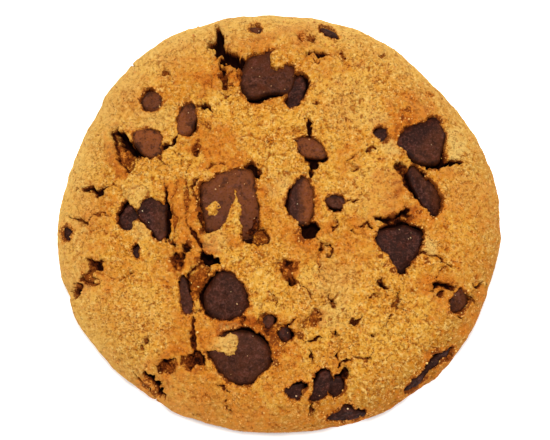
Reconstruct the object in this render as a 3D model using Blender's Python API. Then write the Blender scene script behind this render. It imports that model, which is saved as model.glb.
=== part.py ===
"""A large chocolate chunk cookie, lying on its flat base with the baked, cracked face up.

The dough is one solid: a low dome with a rolled rim, whose skin carries the cracks, pits and torn
flaps. Every chocolate piece that shows is a solid of its own, seated in a pocket of the dough.
Metres, +Z up, origin at the centre of the base.
"""

import math

import bmesh
import bpy
import numpy as np
from mathutils import Vector, noise

MM = 0.001

# The cookie's own sizes, in millimetres.
THICKNESS = 14.5
WIDEST_AT = 4.6
BASE_INSET = 3.4
DOME_OUT = 2.7
DOME_UP = 2.2
CHIP_GAP = 0.4

# The face as it is seen, 10 degrees off square: one pixel of the picture is 0.2 mm of the cookie, and
# SEEN_CENTRE is where the cookie's axis shows at SEEN_HEIGHT.
PIXEL = 0.2
SEEN_CENTRE = (280.2, 217.7)
SEEN_HEIGHT = 11.0
SEEN_TILT = math.radians(10)

# The rim as it is seen, clockwise from the right-hand side.
RIM_SEEN = [
    (501, 223), (500, 255), (492, 280), (482, 308), (470, 334), (453, 359), (435, 378), (408, 396),
    (384, 412), (352, 424), (320, 429), (279, 432), (240, 431), (205, 422), (172, 411), (158, 400),
    (140, 389), (116, 370), (98, 350), (81, 327), (70, 307), (69, 293), (62, 284), (59, 260),
    (58, 223), (62, 195), (70, 167), (81, 140), (95, 115), (108, 90), (126, 70), (146, 51),
    (171, 35), (205, 23), (228, 17), (265, 14), (300, 16), (334, 21), (362, 30), (386, 41),
    (408, 58), (428, 76), (446, 96), (464, 117), (479, 140), (491, 168), (498, 195),
]

# Each chocolate piece: its outline as seen, how far its face lies below the dough's skin, how deep it
# reaches, and the side and width of the open gap beside it, in degrees from +X and millimetres.
CHIPS = {
    "chunk_top": dict(
        seen=[(242, 72), (250, 60), (262, 52), (275, 50), (286, 56), (293, 65), (291, 80), (285, 91),
              (270, 92), (256, 96), (247, 95), (242, 86)],
        sink=0.9, depth=5.0, side=265, gap=1.1),
    "chunk_top_lobe": dict(
        seen=[(295, 77), (303, 74), (306, 84), (303, 95), (297, 104), (291, 105), (289, 96), (292, 86)],
        sink=1.5, depth=3.6, side=20, gap=0.5),
    "chunk_right": dict(
        seen=[(402, 131), (410, 123), (420, 120), (430, 116), (438, 114), (443, 120), (444, 137),
              (442, 152), (437, 161), (425, 162), (412, 155), (401, 149), (399, 140)],
        sink=0.5, depth=4.6, side=290, gap=1.0),
    "chip_right_small": dict(
        seen=[(375, 132), (379, 127), (385, 128), (388, 133), (385, 140), (381, 141)],
        sink=1.3, depth=2.4, side=120, gap=0.3),
    "shard_right": dict(
        seen=[(409, 171), (414, 165), (420, 171), (429, 180), (437, 188), (442, 199), (439, 214),
              (433, 216), (427, 207), (419, 195), (413, 184)],
        sink=1.0, depth=3.4, side=200, gap=0.9),
    "chunk_right_low": dict(
        seen=[(376, 234), (384, 228), (396, 229), (405, 225), (414, 224), (421, 232), (420, 245),
              (417, 260), (409, 265), (403, 272), (396, 270), (390, 256), (380, 248)],
        sink=0.8, depth=4.6, side=80, gap=0.8),
    "chip_round": dict(
        seen=[(204, 301), (207, 289), (213, 280), (222, 273), (232, 273), (239, 281), (246, 293),
              (247, 303), (241, 314), (230, 319), (217, 318), (208, 312)],
        sink=0.4, depth=5.0, side=160, gap=0.7),
    "sliver_left": dict(
        seen=[(180, 280), (185, 278), (188, 289), (191, 301), (193, 309), (186, 312), (182, 307)],
        sink=0.9, depth=3.0, side=60, gap=0.3),
    "chip_low": dict(
        seen=[(209, 351), (213, 342), (223, 335), (237, 332), (251, 334), (263, 341), (269, 352),
              (268, 364), (259, 375), (247, 383), (233, 381), (223, 375), (215, 363)],
        sink=0.5, depth=5.2, side=60, gap=0.8),
    "chunk_mid_flat": dict(
        seen=[(203, 191), (207, 182), (216, 176), (227, 172), (240, 169), (250, 172), (254, 186),
              (257, 202), (258, 217), (256, 230), (246, 236), (232, 234), (215, 231), (206, 224),
              (202, 208)],
        sink=0.3, depth=4.8, side=190, gap=0.3),
    "chip_mid": dict(
        seen=[(293, 187), (298, 180), (306, 180), (312, 187), (313, 202), (311, 217), (304, 222),
              (296, 220), (289, 211), (288, 199)],
        sink=0.6, depth=3.8, side=170, gap=0.5),
    "chip_mid_top": dict(
        seen=[(297, 141), (304, 138), (313, 142), (322, 148), (326, 155), (320, 159), (310, 158),
              (301, 154)],
        sink=0.5, depth=3.0, side=290, gap=0.5),
    "chip_mid_small": dict(
        seen=[(326, 201), (331, 196), (339, 196), (345, 200), (343, 206), (334, 208)],
        sink=0.6, depth=2.4, side=250, gap=0.3),
    "chip_left": dict(
        seen=[(134, 135), (141, 130), (151, 131), (159, 133), (160, 145), (158, 155), (147, 156),
              (138, 150)],
        sink=0.2, depth=4.0, side=250, gap=0.6),
    "chip_left_top": dict(
        seen=[(180, 113), (185, 106), (191, 104), (196, 110), (196, 121), (190, 130), (182, 131),
              (178, 124)],
        sink=0.4, depth=3.2, side=330, gap=0.4),
    "chip_round_small": dict(
        seen=[(141, 99), (144, 92), (151, 90), (158, 93), (160, 100), (156, 107), (149, 109), (143, 106)],
        sink=0.3, depth=3.0, side=120, gap=0.5),
    "chip_left_mid": dict(
        seen=[(119, 217), (123, 210), (128, 203), (133, 207), (135, 216), (131, 225), (126, 230),
              (120, 226)],
        sink=1.2, depth=3.2, side=120, gap=0.4),
    "chunk_left_mid": dict(
        seen=[(139, 208), (144, 200), (151, 196), (160, 201), (167, 204), (168, 218), (167, 233),
              (160, 239), (153, 232), (147, 224), (140, 216)],
        sink=0.7, depth=4.2, side=0, gap=0.4),
    "chip_bottom_small": dict(
        seen=[(285, 391), (291, 386), (301, 384), (302, 391), (298, 399), (290, 397)],
        sink=0.6, depth=2.6, side=110, gap=0.4),
    "chip_bottom": dict(
        seen=[(311, 399), (314, 390), (315, 381), (322, 373), (328, 373), (330, 382), (326, 393),
              (318, 399)],
        sink=0.6, depth=3.2, side=110, gap=0.4),
    "chip_bottom_right": dict(
        seen=[(334, 380), (340, 379), (343, 385), (340, 393), (333, 395), (331, 388)],
        sink=0.9, depth=2.8, side=60, gap=0.4),
    "chip_rim_bottom": dict(
        seen=[(329, 418), (338, 413), (347, 409), (356, 411), (365, 413), (358, 417), (345, 419)],
        sink=0.4, depth=2.6, side=90, gap=0.4),
    "shard_rim_low": dict(
        seen=[(408, 390), (414, 384), (421, 379), (427, 378), (423, 384), (415, 389)],
        sink=0.6, depth=2.2, side=130, gap=0.6),
    "chunk_rim": dict(
        seen=[(430, 374), (434, 367), (442, 360), (452, 353), (451, 361), (445, 368), (437, 372)],
        sink=0.6, depth=3.0, side=130, gap=0.7),
    "chip_rim_right": dict(
        seen=[(451, 301), (456, 294), (462, 289), (467, 297), (464, 307), (456, 311), (449, 310)],
        sink=0.4, depth=3.0, side=200, gap=0.3),
    "chip_top_rim": dict(
        seen=[(321, 26), (328, 27), (337, 33), (333, 35), (325, 31)],
        sink=0.2, depth=2.2, side=60, gap=0.3),
    "chip_top_small": dict(
        seen=[(251, 27), (256, 25), (261, 29), (256, 31)],
        sink=0.4, depth=1.8, side=90, gap=0.3),
    "chip_rim_left": dict(
        seen=[(63, 229), (67, 226), (69, 232), (67, 240), (64, 238)],
        sink=0.5, depth=1.8, side=0, gap=0.3),
    "chip_by_low": dict(
        seen=[(264, 321), (267, 316), (273, 316), (273, 322), (268, 326)],
        sink=0.8, depth=2.2, side=0, gap=0.3),
    "chip_by_low_right": dict(
        seen=[(281, 331), (285, 327), (290, 330), (290, 338), (283, 339)],
        sink=0.8, depth=2.2, side=0, gap=0.3),
    "chip_left_low": dict(
        seen=[(134, 249), (138, 245), (140, 252), (137, 258), (134, 255)],
        sink=0.8, depth=1.8, side=90, gap=0.2),
}

# Chocolate that reached the tray and shows in the base: centre and half sizes in millimetres, turn in
# degrees.
BASE_CHIPS = {
    "base_chip_front": dict(at=(-8.0, -21.0), half=(5.2, 4.2), turn=20),
    "base_chip_left": dict(at=(-25.0, 4.0), half=(4.4, 3.4), turn=75),
    "base_chip_back": dict(at=(7.0, 25.0), half=(5.4, 3.8), turn=-30),
    "base_chip_right": dict(at=(24.0, -9.0), half=(4.6, 4.4), turn=10),
    "base_chip_centre": dict(at=(3.0, 3.0), half=(3.6, 2.8), turn=50),
}
BASE_CHIP_DEPTH = 3.0
BASE_CHIP_RECESS = 0.15

# Torn dough that stands over a chocolate face: outline as seen, and how high it rises over the dome.
FLAPS = [
    dict(seen=[(272, 57), (276, 48), (284, 41), (291, 36), (300, 39), (306, 46), (305, 57), (297, 63),
               (288, 63), (280, 69), (273, 66)], rise=1.1),
    dict(seen=[(237, 190), (241, 202), (241, 222), (244, 236), (236, 244), (215, 243), (200, 238),
               (210, 232), (222, 229), (228, 216), (233, 201)], rise=0.7),
    dict(seen=[(201, 342), (210, 337), (222, 336), (232, 333), (238, 338), (238, 345), (234, 356),
               (225, 353), (214, 350), (206, 348)], rise=0.9),
    dict(seen=[(132, 235), (132, 225), (138, 220), (144, 224), (150, 229), (154, 236), (156, 244),
               (146, 248), (138, 244)], rise=0.3),
    dict(seen=[(128, 180), (140, 160), (155, 160), (163, 178), (163, 200), (156, 198), (146, 197),
               (138, 205), (131, 200)], rise=0.4),
    dict(seen=[(225, 30), (255, 34), (276, 38), (270, 49), (255, 53), (238, 52), (226, 46)], rise=0.6),
]

# Open hollows in the dough: outline as seen and depth.
HOLLOWS = [
    dict(seen=[(111, 133), (117, 129), (124, 136), (132, 144), (139, 153), (139, 163), (130, 169),
               (121, 166), (115, 153)], depth=3.4),
    dict(seen=[(183, 280), (192, 270), (203, 262), (212, 268), (209, 281), (203, 292), (204, 309),
               (193, 312), (186, 300)], depth=2.2),
    dict(seen=[(200, 252), (211, 252), (221, 259), (220, 266), (203, 264)], depth=3.8),
    dict(seen=[(301, 225), (312, 223), (319, 231), (310, 239)], depth=3.8),
    dict(seen=[(376, 218), (407, 212), (415, 221), (388, 228)], depth=1.7),
    dict(seen=[(244, 164), (252, 160), (260, 168), (249, 172)], depth=2.4),
    dict(seen=[(238, 236), (262, 230), (270, 237), (242, 242)], depth=1.6),
    dict(seen=[(158, 368), (176, 359), (200, 352), (200, 368), (176, 374)], depth=1.6),
    dict(seen=[(170, 256), (180, 251), (186, 260), (177, 270)], depth=1.6),
    dict(seen=[(80, 279), (88, 269), (102, 260), (101, 268), (90, 285)], depth=1.5),
    dict(seen=[(68, 290), (77, 283), (83, 288), (72, 300)], depth=1.6),
    dict(seen=[(221, 68), (227, 70), (231, 88), (223, 90)], depth=1.4),
    dict(seen=[(308, 161), (318, 160), (318, 166), (310, 169)], depth=2.4),
]

# Cracks wide enough to catch a fingernail: the line as seen, its width and depth in millimetres.
CRACKS = [
    dict(seen=[(217, 26), (219, 40), (222, 51), (232, 56), (241, 64), (244, 70)], width=2.2, depth=4.5),
    dict(seen=[(410, 158), (425, 165), (440, 165), (452, 162), (464, 162)], width=1.6, depth=3.0),
    dict(seen=[(159, 150), (167, 148), (173, 142), (177, 135), (182, 131)], width=1.2, depth=2.0),
    dict(seen=[(165, 183), (167, 195), (168, 206)], width=1.2, depth=2.2),
    dict(seen=[(304, 118), (308, 126), (308, 137)], width=1.2, depth=1.6),
    dict(seen=[(310, 167), (309, 179)], width=1.2, depth=1.8),
    dict(seen=[(149, 377), (155, 383), (161, 391), (169, 399)], width=1.6, depth=2.4),
    dict(seen=[(192, 322), (195, 335), (196, 348), (191, 360)], width=1.3, depth=1.4),
    dict(seen=[(188, 224), (197, 237), (202, 250)], width=1.3, depth=1.4),
    dict(seen=[(431, 287), (440, 284), (449, 284)], width=1.3, depth=1.0),
]


# Points as seen, and where they lie on the cookie.


def rim_radii(count=720, blur_deg=1.6):
    """The rim's radius at evenly spaced bearings, from the rim as it is seen."""
    points = np.array(RIM_SEEN, float)
    x = (points[:, 0] - SEEN_CENTRE[0]) * PIXEL
    y = (SEEN_CENTRE[1] - points[:, 1]) * PIXEL - (WIDEST_AT - SEEN_HEIGHT) * math.sin(SEEN_TILT)
    y /= math.cos(SEEN_TILT)
    bearing, radius = np.degrees(np.arctan2(y, x)) % 360, np.hypot(x, y)
    order = np.argsort(bearing)
    at = np.arange(count) * 360 / count
    radii = np.interp(at, bearing[order], radius[order], period=360)
    off = np.minimum(at, 360 - at)
    kernel = np.exp(-0.5 * (off / blur_deg) ** 2)
    return np.real(np.fft.ifft(np.fft.fft(radii) * np.fft.fft(kernel / kernel.sum())))


RIM = rim_radii()


def rim_at(x, y):
    bearing = np.degrees(np.arctan2(y, x)) % 360
    return np.interp(bearing, np.arange(len(RIM)) * 360 / len(RIM), RIM, period=360)


def dome(x, y):
    """Height of the plain dome over a point of the plan."""
    out = np.clip(np.hypot(x, y) / rim_at(x, y), 0, 1)
    return WIDEST_AT + (THICKNESS - WIDEST_AT) * (1 - out**DOME_OUT) ** (1 / DOME_UP)


def on_plan(seen):
    """Plan positions, in millimetres, of points of the face that are given as seen."""
    seen = np.array(seen, float).reshape(-1, 2)
    x = (seen[:, 0] - SEEN_CENTRE[0]) * PIXEL
    up = (SEEN_CENTRE[1] - seen[:, 1]) * PIXEL
    y = up.copy()
    for _ in range(12):
        y = (up - (dome(x, y) - SEEN_HEIGHT) * math.sin(SEEN_TILT)) / math.cos(SEEN_TILT)
    return np.stack([x, y], axis=1)


def smooth_loop(points, per_side=6):
    """A closed smooth curve through the points."""
    before, after, next_but_one = (np.roll(points, k, axis=0) for k in (1, -1, -2))
    t = (np.arange(per_side) / per_side)[None, :, None]
    p0, p1, p2, p3 = (p[:, None, :] for p in (before, points, after, next_but_one))
    curve = 2 * p1 + (p2 - p0) * t + (2 * p0 - 5 * p1 + 4 * p2 - p3) * t**2
    curve = 0.5 * (curve + (3 * p1 - p0 - 3 * p2 + p3) * t**3)
    return curve.reshape(-1, 2)


def distance_to_line(points, line):
    """Distance from each point to an open line, and how far along the line it is, from 0 to 1."""
    best = np.full(len(points), np.inf)
    along = np.zeros(len(points))
    steps = np.linalg.norm(np.diff(line, axis=0), axis=1)
    begun = 0.0
    for start, end, step in zip(line[:-1], line[1:], steps):
        t = np.clip(((points - start) @ (end - start)) / max(step * step, 1e-9), 0, 1)
        d = np.linalg.norm(points - (start + t[:, None] * (end - start)), axis=1)
        nearer = d < best
        best = np.where(nearer, d, best)
        along = np.where(nearer, (begun + t * step) / steps.sum(), along)
        begun += step
    return best, along


def inside(points, loop):
    """Which points lie inside a closed loop, by counting crossings."""
    odd = np.zeros(len(points), bool)
    for (x1, y1), (x2, y2) in zip(loop, np.roll(loop, -1, axis=0)):
        spans = (y1 > points[:, 1]) != (y2 > points[:, 1])
        crossing = x1 + (points[:, 1] - y1) * (x2 - x1) / (y2 - y1 if y2 != y1 else 1e-9)
        odd ^= spans & (points[:, 0] < crossing)
    return odd


def distance_to_loop(points, loop):
    """Signed distance to a closed loop: below zero inside it."""
    d, _ = distance_to_line(points, np.vstack([loop, loop[:1]]))
    return np.where(inside(points, loop), -d, d)


def ease(low, high, value):
    t = np.clip((value - low) / (high - low), 0, 1)
    return t * t * (3 - 2 * t)


def near(points, shape, reach):
    """Indices of the points within reach of a shape's bounding box."""
    low, high = shape.min(0) - reach, shape.max(0) + reach
    return np.nonzero(((points >= low) & (points <= high)).all(axis=1))[0]


# The dough's skin, as a height over the plain dome.

SWELL, SWELL_SIZE = 0.45, 15.0
LUMP, LUMP_SIZE = 0.38, 3.6
RAGGED, RAGGED_SIZE = 0.3, 1.8
POCKET_DROP = 1.0
FLAP_ROLL = 0.4
REACH = 4.0


def skin_noise(plan):
    """Broad swells and small lumps of baked dough, and the sideways raggedness of every torn edge."""
    height = np.empty(len(plan))
    ragged = np.empty((len(plan), 2))
    for i, (x, y) in enumerate(plan):
        here = Vector((x, y, 0.0))
        height[i] = SWELL * noise.noise(here / SWELL_SIZE) + LUMP * noise.noise(here / LUMP_SIZE)
        shift = noise.noise_vector(here / RAGGED_SIZE)
        ragged[i] = RAGGED * shift.x, RAGGED * shift.y
    return height, ragged


def cut_crack(height, torn, crack):
    line = on_plan(crack["seen"])
    at = near(torn, line, REACH)
    d, along = distance_to_line(torn[at], line)
    half = crack["width"] / 2 * (0.45 + 0.55 * np.sin(np.pi * np.clip(along, 0.06, 0.94)))
    height[at] -= crack["depth"] * (1 - ease(0.25, 1.25, d / half))


def sink_hollow(height, torn, hollow):
    loop = smooth_loop(on_plan(hollow["seen"]))
    at = near(torn, loop, REACH)
    d = distance_to_loop(torn[at], loop)
    height[at] -= hollow["depth"] * (1 - ease(-0.9, 0.35, d))


def seat_chip(height, torn, chip):
    """Lowers the skin under a chocolate face, and a little past it on the side of its gap."""
    loop = smooth_loop(on_plan(chip["seen"]))
    at = near(torn, loop, REACH)
    away = torn[at] - loop.mean(0)
    turn = math.radians(chip["side"])
    facing = away @ np.array([math.cos(turn), math.sin(turn)]) / np.maximum(np.hypot(*away.T), 1e-6)
    d = distance_to_loop(torn[at], loop) - chip["gap"] * np.clip(facing, 0, 1) ** 2
    floor = -chip["sink"] - POCKET_DROP
    w = ease(-0.15, 0.6, d)
    height[at] = np.minimum(height[at], height[at] * w + floor * (1 - w))


def lay_flap(height, torn, flap):
    loop = smooth_loop(on_plan(flap["seen"]))
    at = near(torn, loop, REACH)
    d = distance_to_loop(torn[at], loop)
    w = ease(-0.6, 0.15, -d)
    crown = flap["rise"] - FLAP_ROLL * (1 - ease(0, 2.5, -d))
    height[at] = height[at] * (1 - w) + np.maximum(height[at], crown) * w


def skin(plan):
    """Height of the dough over the plain dome, along the dome's normal, in millimetres."""
    height, ragged = skin_noise(plan)
    torn = plan + ragged
    for hollow in HOLLOWS:
        sink_hollow(height, torn, hollow)
    for crack in CRACKS:
        cut_crack(height, torn, crack)
    for chip in CHIPS.values():
        seat_chip(height, torn, chip)
    for flap in FLAPS:
        lay_flap(height, torn, flap)
    return height


# Building the solids.


def material(name, colour, roughness):
    made = bpy.data.materials.new(name)
    made.use_nodes = True
    shader = made.node_tree.nodes["Principled BSDF"]
    shader.inputs["Base Color"].default_value = (*colour, 1.0)
    shader.inputs["Roughness"].default_value = roughness
    shader.inputs["Metallic"].default_value = 0.0
    return made


def clear_scene():
    for obj in list(bpy.data.objects):
        bpy.data.objects.remove(obj, do_unlink=True)


def add_object(name, bm, collection):
    mesh = bpy.data.meshes.new(name)
    bm.to_mesh(mesh)
    bm.free()
    obj = bpy.data.objects.new(name, mesh)
    collection.objects.link(obj)
    return obj


# The share of the ball's half turn that becomes the top, and then the rolled edge; the rest is base.
TOP_SHARE, EDGE_SHARE = 0.62, 0.10
BALL_STEPS = 7


def side_profile(samples=400):
    """How far out, as a share of the rim, and how high the plain dough is, against its polar angle."""
    a = np.linspace(0, math.pi / 2, samples)
    out = np.sin(a) ** (2 / DOME_OUT)
    high = WIDEST_AT + (THICKNESS - WIDEST_AT) * np.cos(a) ** (2 / DOME_UP)
    length = np.concatenate([[0], np.cumsum(np.hypot(np.diff(out * RIM.mean()), np.diff(high)))])
    top = TOP_SHARE * math.pi * length / length[-1]
    inset = BASE_INSET / RIM.mean()
    edge = np.linspace(0, 1, samples)[1:]
    edge_out = 1 - inset * (1 - np.cos(edge * math.pi / 2))
    edge_high = WIDEST_AT * (1 - np.sin(edge * math.pi / 2))
    angle = np.concatenate([top, (TOP_SHARE + EDGE_SHARE * edge) * math.pi, [math.pi]])
    return angle, np.concatenate([out, edge_out, [0]]), np.concatenate([high, edge_high, [0]])


def dough_places(polar, bearing, profile):
    """Points of the plain dough, in millimetres, for polar angles and bearings of the ball."""
    angle, out, high = profile
    share = np.interp(polar, angle, out)
    rim = np.interp(np.degrees(bearing) % 360, np.arange(len(RIM)) * 360 / len(RIM), RIM, period=360)
    x, y = share * rim * np.cos(bearing), share * rim * np.sin(bearing)
    return np.stack([x, y, np.interp(polar, angle, high)], axis=1)


def dough_normals(polar, bearing, profile, step=0.004):
    """Outward normals of the plain dough, from small steps round and down it."""
    down = dough_places(polar + step, bearing, profile) - dough_places(polar - step, bearing, profile)
    turn = np.full(len(polar), step) / np.maximum(np.sin(polar), 0.05)
    round_ = dough_places(polar, bearing + turn, profile) - dough_places(polar, bearing - turn, profile)
    normal = np.cross(down, round_)
    normal[polar < 0.03] = (0, 0, 1)
    return normal / np.maximum(np.linalg.norm(normal, axis=1), 1e-9)[:, None]


DOUGH_SHARE = 0.066
SKIN_FADE = 1.8


def make_dough(collection, look):
    """A fine ball pressed into the cookie's form, its skin raised and torn, then thinned to few faces."""
    bm = bmesh.new()
    bmesh.ops.create_icosphere(bm, subdivisions=BALL_STEPS, radius=1.0)
    obj = add_object("dough", bm, collection)
    ball = np.empty(len(obj.data.vertices) * 3, np.float32)
    obj.data.vertices.foreach_get("co", ball)
    ball = ball.reshape(-1, 3).astype(float)
    polar = np.arccos(np.clip(ball[:, 2], -1, 1))
    bearing = np.arctan2(ball[:, 1], ball[:, 0])
    profile = side_profile()
    places = dough_places(polar, bearing, profile)
    normals = dough_normals(polar, bearing, profile)
    fade = ease(0, SKIN_FADE, places[:, 2]) * (polar < (TOP_SHARE + EDGE_SHARE) * math.pi)
    places += normals * (skin(places[:, :2]) * fade)[:, None]
    obj.data.vertices.foreach_set("co", (places * MM).astype(np.float32).ravel())
    obj.data.materials.append(look)
    thin = obj.modifiers.new("few faces", "DECIMATE")
    thin.ratio = DOUGH_SHARE
    return obj


def seat_of(plan):
    """Centre of a chocolate face on the plain dome, and the directions across, up and out of it."""
    x, y = plan.mean(0)
    step = 0.6
    east = np.array([2 * step, 0, dome(x + step, y) - dome(x - step, y)], float)
    north = np.array([0, 2 * step, dome(x, y + step) - dome(x, y - step)], float)
    out = np.cross(east, north)
    out /= np.linalg.norm(out)
    across = east / np.linalg.norm(east)
    return np.array([x, y, float(dome(x, y))]), across, np.cross(out, across), out


SIDE_LENGTH = 2.1
FEWEST_SIDES, MOST_SIDES = 8, 14
EDGE_SQUARE = 0.42
CROWN = 0.9


def side_count(edge):
    """How many flat sides a lump gets round its outline."""
    perimeter = np.linalg.norm(edge - np.roll(edge, -1, axis=0), axis=1).sum()
    return int(np.clip(round(perimeter / SIDE_LENGTH), FEWEST_SIDES, MOST_SIDES))


def make_lump(name, collection, frame, edge, rise, depth, grow=0.0):
    """A chocolate lump: a ball drawn out to a flat outline, with a low crown above and its body below.

    edge holds the outline in the seat's own two directions; grow makes the lump larger all round."""
    centre, across, upward, out = frame
    bearings = np.arctan2(edge[:, 1], edge[:, 0])
    order = np.argsort(bearings)
    reach = np.hypot(edge[:, 0], edge[:, 1])
    sides = side_count(edge)
    bm = bmesh.new()
    bmesh.ops.create_uvsphere(bm, u_segments=sides, v_segments=6 if sides > 10 else 5, radius=1.0)
    for vert in bm.verts:
        x, y, z = vert.co
        flat = math.hypot(x, y)
        radius = np.interp(math.atan2(y, x), bearings[order], reach[order], period=2 * math.pi)
        spread = (radius + grow) * flat**EDGE_SQUARE if flat > 1e-4 else 0.0
        turn = math.atan2(y, x)
        high = (rise + grow) * z if z > 0 else (depth + grow) * z
        place = centre + across * spread * math.cos(turn) + upward * spread * math.sin(turn)
        vert.co = Vector((place + out * high) * MM)
    return add_object(name, bm, collection)


def chip_seat(chip):
    """A chip's seat, and its outline in the seat's directions."""
    loop = smooth_loop(on_plan(chip["seen"]), per_side=4)
    centre, across, upward, out = seat_of(loop)
    face = np.column_stack([loop, dome(loop[:, 0], loop[:, 1])]) - centre
    edge = np.column_stack([face @ across, face @ upward])
    return (centre - out * (chip["sink"] + CROWN), across, upward, out), edge


def base_seat(chip, sides=24):
    """A base chip's seat, facing down, and its oval outline."""
    t = np.linspace(0, 2 * math.pi, sides, endpoint=False)
    turn = math.radians(chip["turn"])
    oval = np.column_stack([chip["half"][0] * np.cos(t), chip["half"][1] * np.sin(t)])
    edge = oval @ np.array([[math.cos(turn), math.sin(turn)], [-math.sin(turn), math.cos(turn)]])
    centre = np.array([*chip["at"], BASE_CHIP_RECESS + CROWN / 2])
    down = np.array([0.0, 0.0, -1.0])
    return (centre, np.array([1.0, 0, 0]), np.array([0, -1.0, 0]), down), edge


def make_chips(parts, cutters, look):
    """Every chocolate piece, and the slightly larger lump that cuts its pocket."""
    seats = {name: (*chip_seat(chip), CROWN, chip["depth"]) for name, chip in CHIPS.items()}
    for name, chip in BASE_CHIPS.items():
        seats[name] = (*base_seat(chip), CROWN / 2, BASE_CHIP_DEPTH)
    for name, (frame, edge, rise, depth) in seats.items():
        piece = make_lump(name, parts, frame, edge, rise, depth)
        piece.data.shade_smooth()
        piece.data.materials.append(look)
        cutter = make_lump(name + "_pocket", cutters, frame, edge, rise, depth, grow=CHIP_GAP)
        cutter.hide_render = True
        cutter.display_type = "WIRE"


def keep_largest_body(bm):
    """Drops the scraps that cutting the pockets leaves loose."""
    left, bodies = set(bm.verts), []
    while left:
        body, edge = set(), [left.pop()]
        while edge:
            vert = edge.pop()
            body.add(vert)
            linked = {e.other_vert(vert) for e in vert.link_edges} & left
            left -= linked
            edge.extend(linked)
        bodies.append(body)
    bodies.sort(key=len)
    for body in bodies[:-1]:
        bmesh.ops.delete(bm, geom=list(body), context="VERTS")


def cut_pockets(dough, cutters):
    """One Boolean takes every pocket out of the dough, and its result becomes the dough's own mesh."""
    cut = dough.modifiers.new("pockets", "BOOLEAN")
    cut.operation = "DIFFERENCE"
    cut.operand_type = "COLLECTION"
    cut.collection = cutters
    cut.solver = "EXACT"
    graph = bpy.context.evaluated_depsgraph_get()
    mesh = bpy.data.meshes.new_from_object(dough.evaluated_get(graph))
    dough.modifiers.clear()
    dough.data = mesh
    bm = bmesh.new()
    bm.from_mesh(mesh)
    bmesh.ops.remove_doubles(bm, verts=bm.verts, dist=0.002 * MM)
    keep_largest_body(bm)
    bmesh.ops.triangulate(bm, faces=bm.faces)
    bm.to_mesh(mesh)
    bm.free()
    for cutter in list(cutters.objects):
        bpy.data.objects.remove(cutter, do_unlink=True)


def main():
    clear_scene()
    parts = bpy.data.collections.new("chocolate chunk cookie")
    cutters = bpy.data.collections.new("pocket cutters")
    bpy.context.scene.collection.children.link(parts)
    bpy.context.scene.collection.children.link(cutters)
    baked = material("baked dough", (0.62, 0.30, 0.06), 0.85)
    chocolate = material("chocolate", (0.075, 0.028, 0.018), 0.5)
    dough = make_dough(parts, baked)
    make_chips(parts, cutters, chocolate)
    cut_pockets(dough, cutters)


main()
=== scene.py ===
import math

import bmesh
import bpy
import numpy as np
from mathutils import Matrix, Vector


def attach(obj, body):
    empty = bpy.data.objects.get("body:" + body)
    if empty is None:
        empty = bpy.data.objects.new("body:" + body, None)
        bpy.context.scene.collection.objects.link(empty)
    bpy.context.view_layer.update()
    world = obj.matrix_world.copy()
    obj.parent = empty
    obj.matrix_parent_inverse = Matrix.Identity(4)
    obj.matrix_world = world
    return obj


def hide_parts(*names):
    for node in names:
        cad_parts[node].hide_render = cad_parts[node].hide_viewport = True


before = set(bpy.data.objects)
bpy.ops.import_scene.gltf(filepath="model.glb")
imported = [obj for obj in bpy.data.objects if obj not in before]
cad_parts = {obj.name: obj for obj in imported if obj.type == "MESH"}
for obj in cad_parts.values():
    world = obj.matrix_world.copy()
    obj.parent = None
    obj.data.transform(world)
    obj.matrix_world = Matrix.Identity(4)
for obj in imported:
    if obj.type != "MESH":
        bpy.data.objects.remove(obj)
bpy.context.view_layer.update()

# The cookie's form: a spoonful of stiff dough that spreads on the tray into a low dome. Its rim rolls
# under to a flat base. Sizes are in millimetres, and points named as seen are places in the picture.

MM = 0.001
THICKNESS = 14.5
WIDEST_AT = 4.6
BASE_INSET = 3.4
DOME_OUT = 2.7
DOME_UP = 2.2
PIXEL = 0.2
SEEN_CENTRE = (280.2, 217.7)
SEEN_HEIGHT = 11.0
SEEN_TILT = math.radians(10)
RIM_SEEN = [
    (501, 223), (500, 255), (492, 280), (482, 308), (470, 334), (453, 359), (435, 378), (408, 396),
    (384, 412), (352, 424), (320, 429), (279, 432), (240, 431), (205, 422), (172, 411), (158, 400),
    (140, 389), (116, 370), (98, 350), (81, 327), (70, 307), (69, 293), (62, 284), (59, 260),
    (58, 223), (62, 195), (70, 167), (81, 140), (95, 115), (108, 90), (126, 70), (146, 51),
    (171, 35), (205, 23), (228, 17), (265, 14), (300, 16), (334, 21), (362, 30), (386, 41),
    (408, 58), (428, 76), (446, 96), (464, 117), (479, 140), (491, 168), (498, 195),
]


def rim_radii(count=720, blur_deg=1.2):
    """The rim's radius at evenly spaced bearings, from the rim as it is seen."""
    points = np.array(RIM_SEEN, float)
    x = (points[:, 0] - SEEN_CENTRE[0]) * PIXEL
    y = (SEEN_CENTRE[1] - points[:, 1]) * PIXEL - (WIDEST_AT - SEEN_HEIGHT) * math.sin(SEEN_TILT)
    y /= math.cos(SEEN_TILT)
    bearing, radius = np.degrees(np.arctan2(y, x)) % 360, np.hypot(x, y)
    order = np.argsort(bearing)
    at = np.arange(count) * 360 / count
    radii = np.interp(at, bearing[order], radius[order], period=360)
    off = np.minimum(at, 360 - at)
    kernel = np.exp(-0.5 * (off / blur_deg) ** 2)
    return np.real(np.fft.ifft(np.fft.fft(radii) * np.fft.fft(kernel / kernel.sum())))


RIM = rim_radii()


def rim_at(bearing):
    """The rim's radius at bearings in radians."""
    return np.interp(np.degrees(bearing) % 360, np.arange(len(RIM)) * 360 / len(RIM), RIM, period=360)


def dome(x, y):
    """Height of the plain dome over a point of the plan."""
    out = np.clip(np.hypot(x, y) / rim_at(np.arctan2(y, x)), 0, 1)
    return WIDEST_AT + (THICKNESS - WIDEST_AT) * (1 - out**DOME_OUT) ** (1 / DOME_UP)


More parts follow.
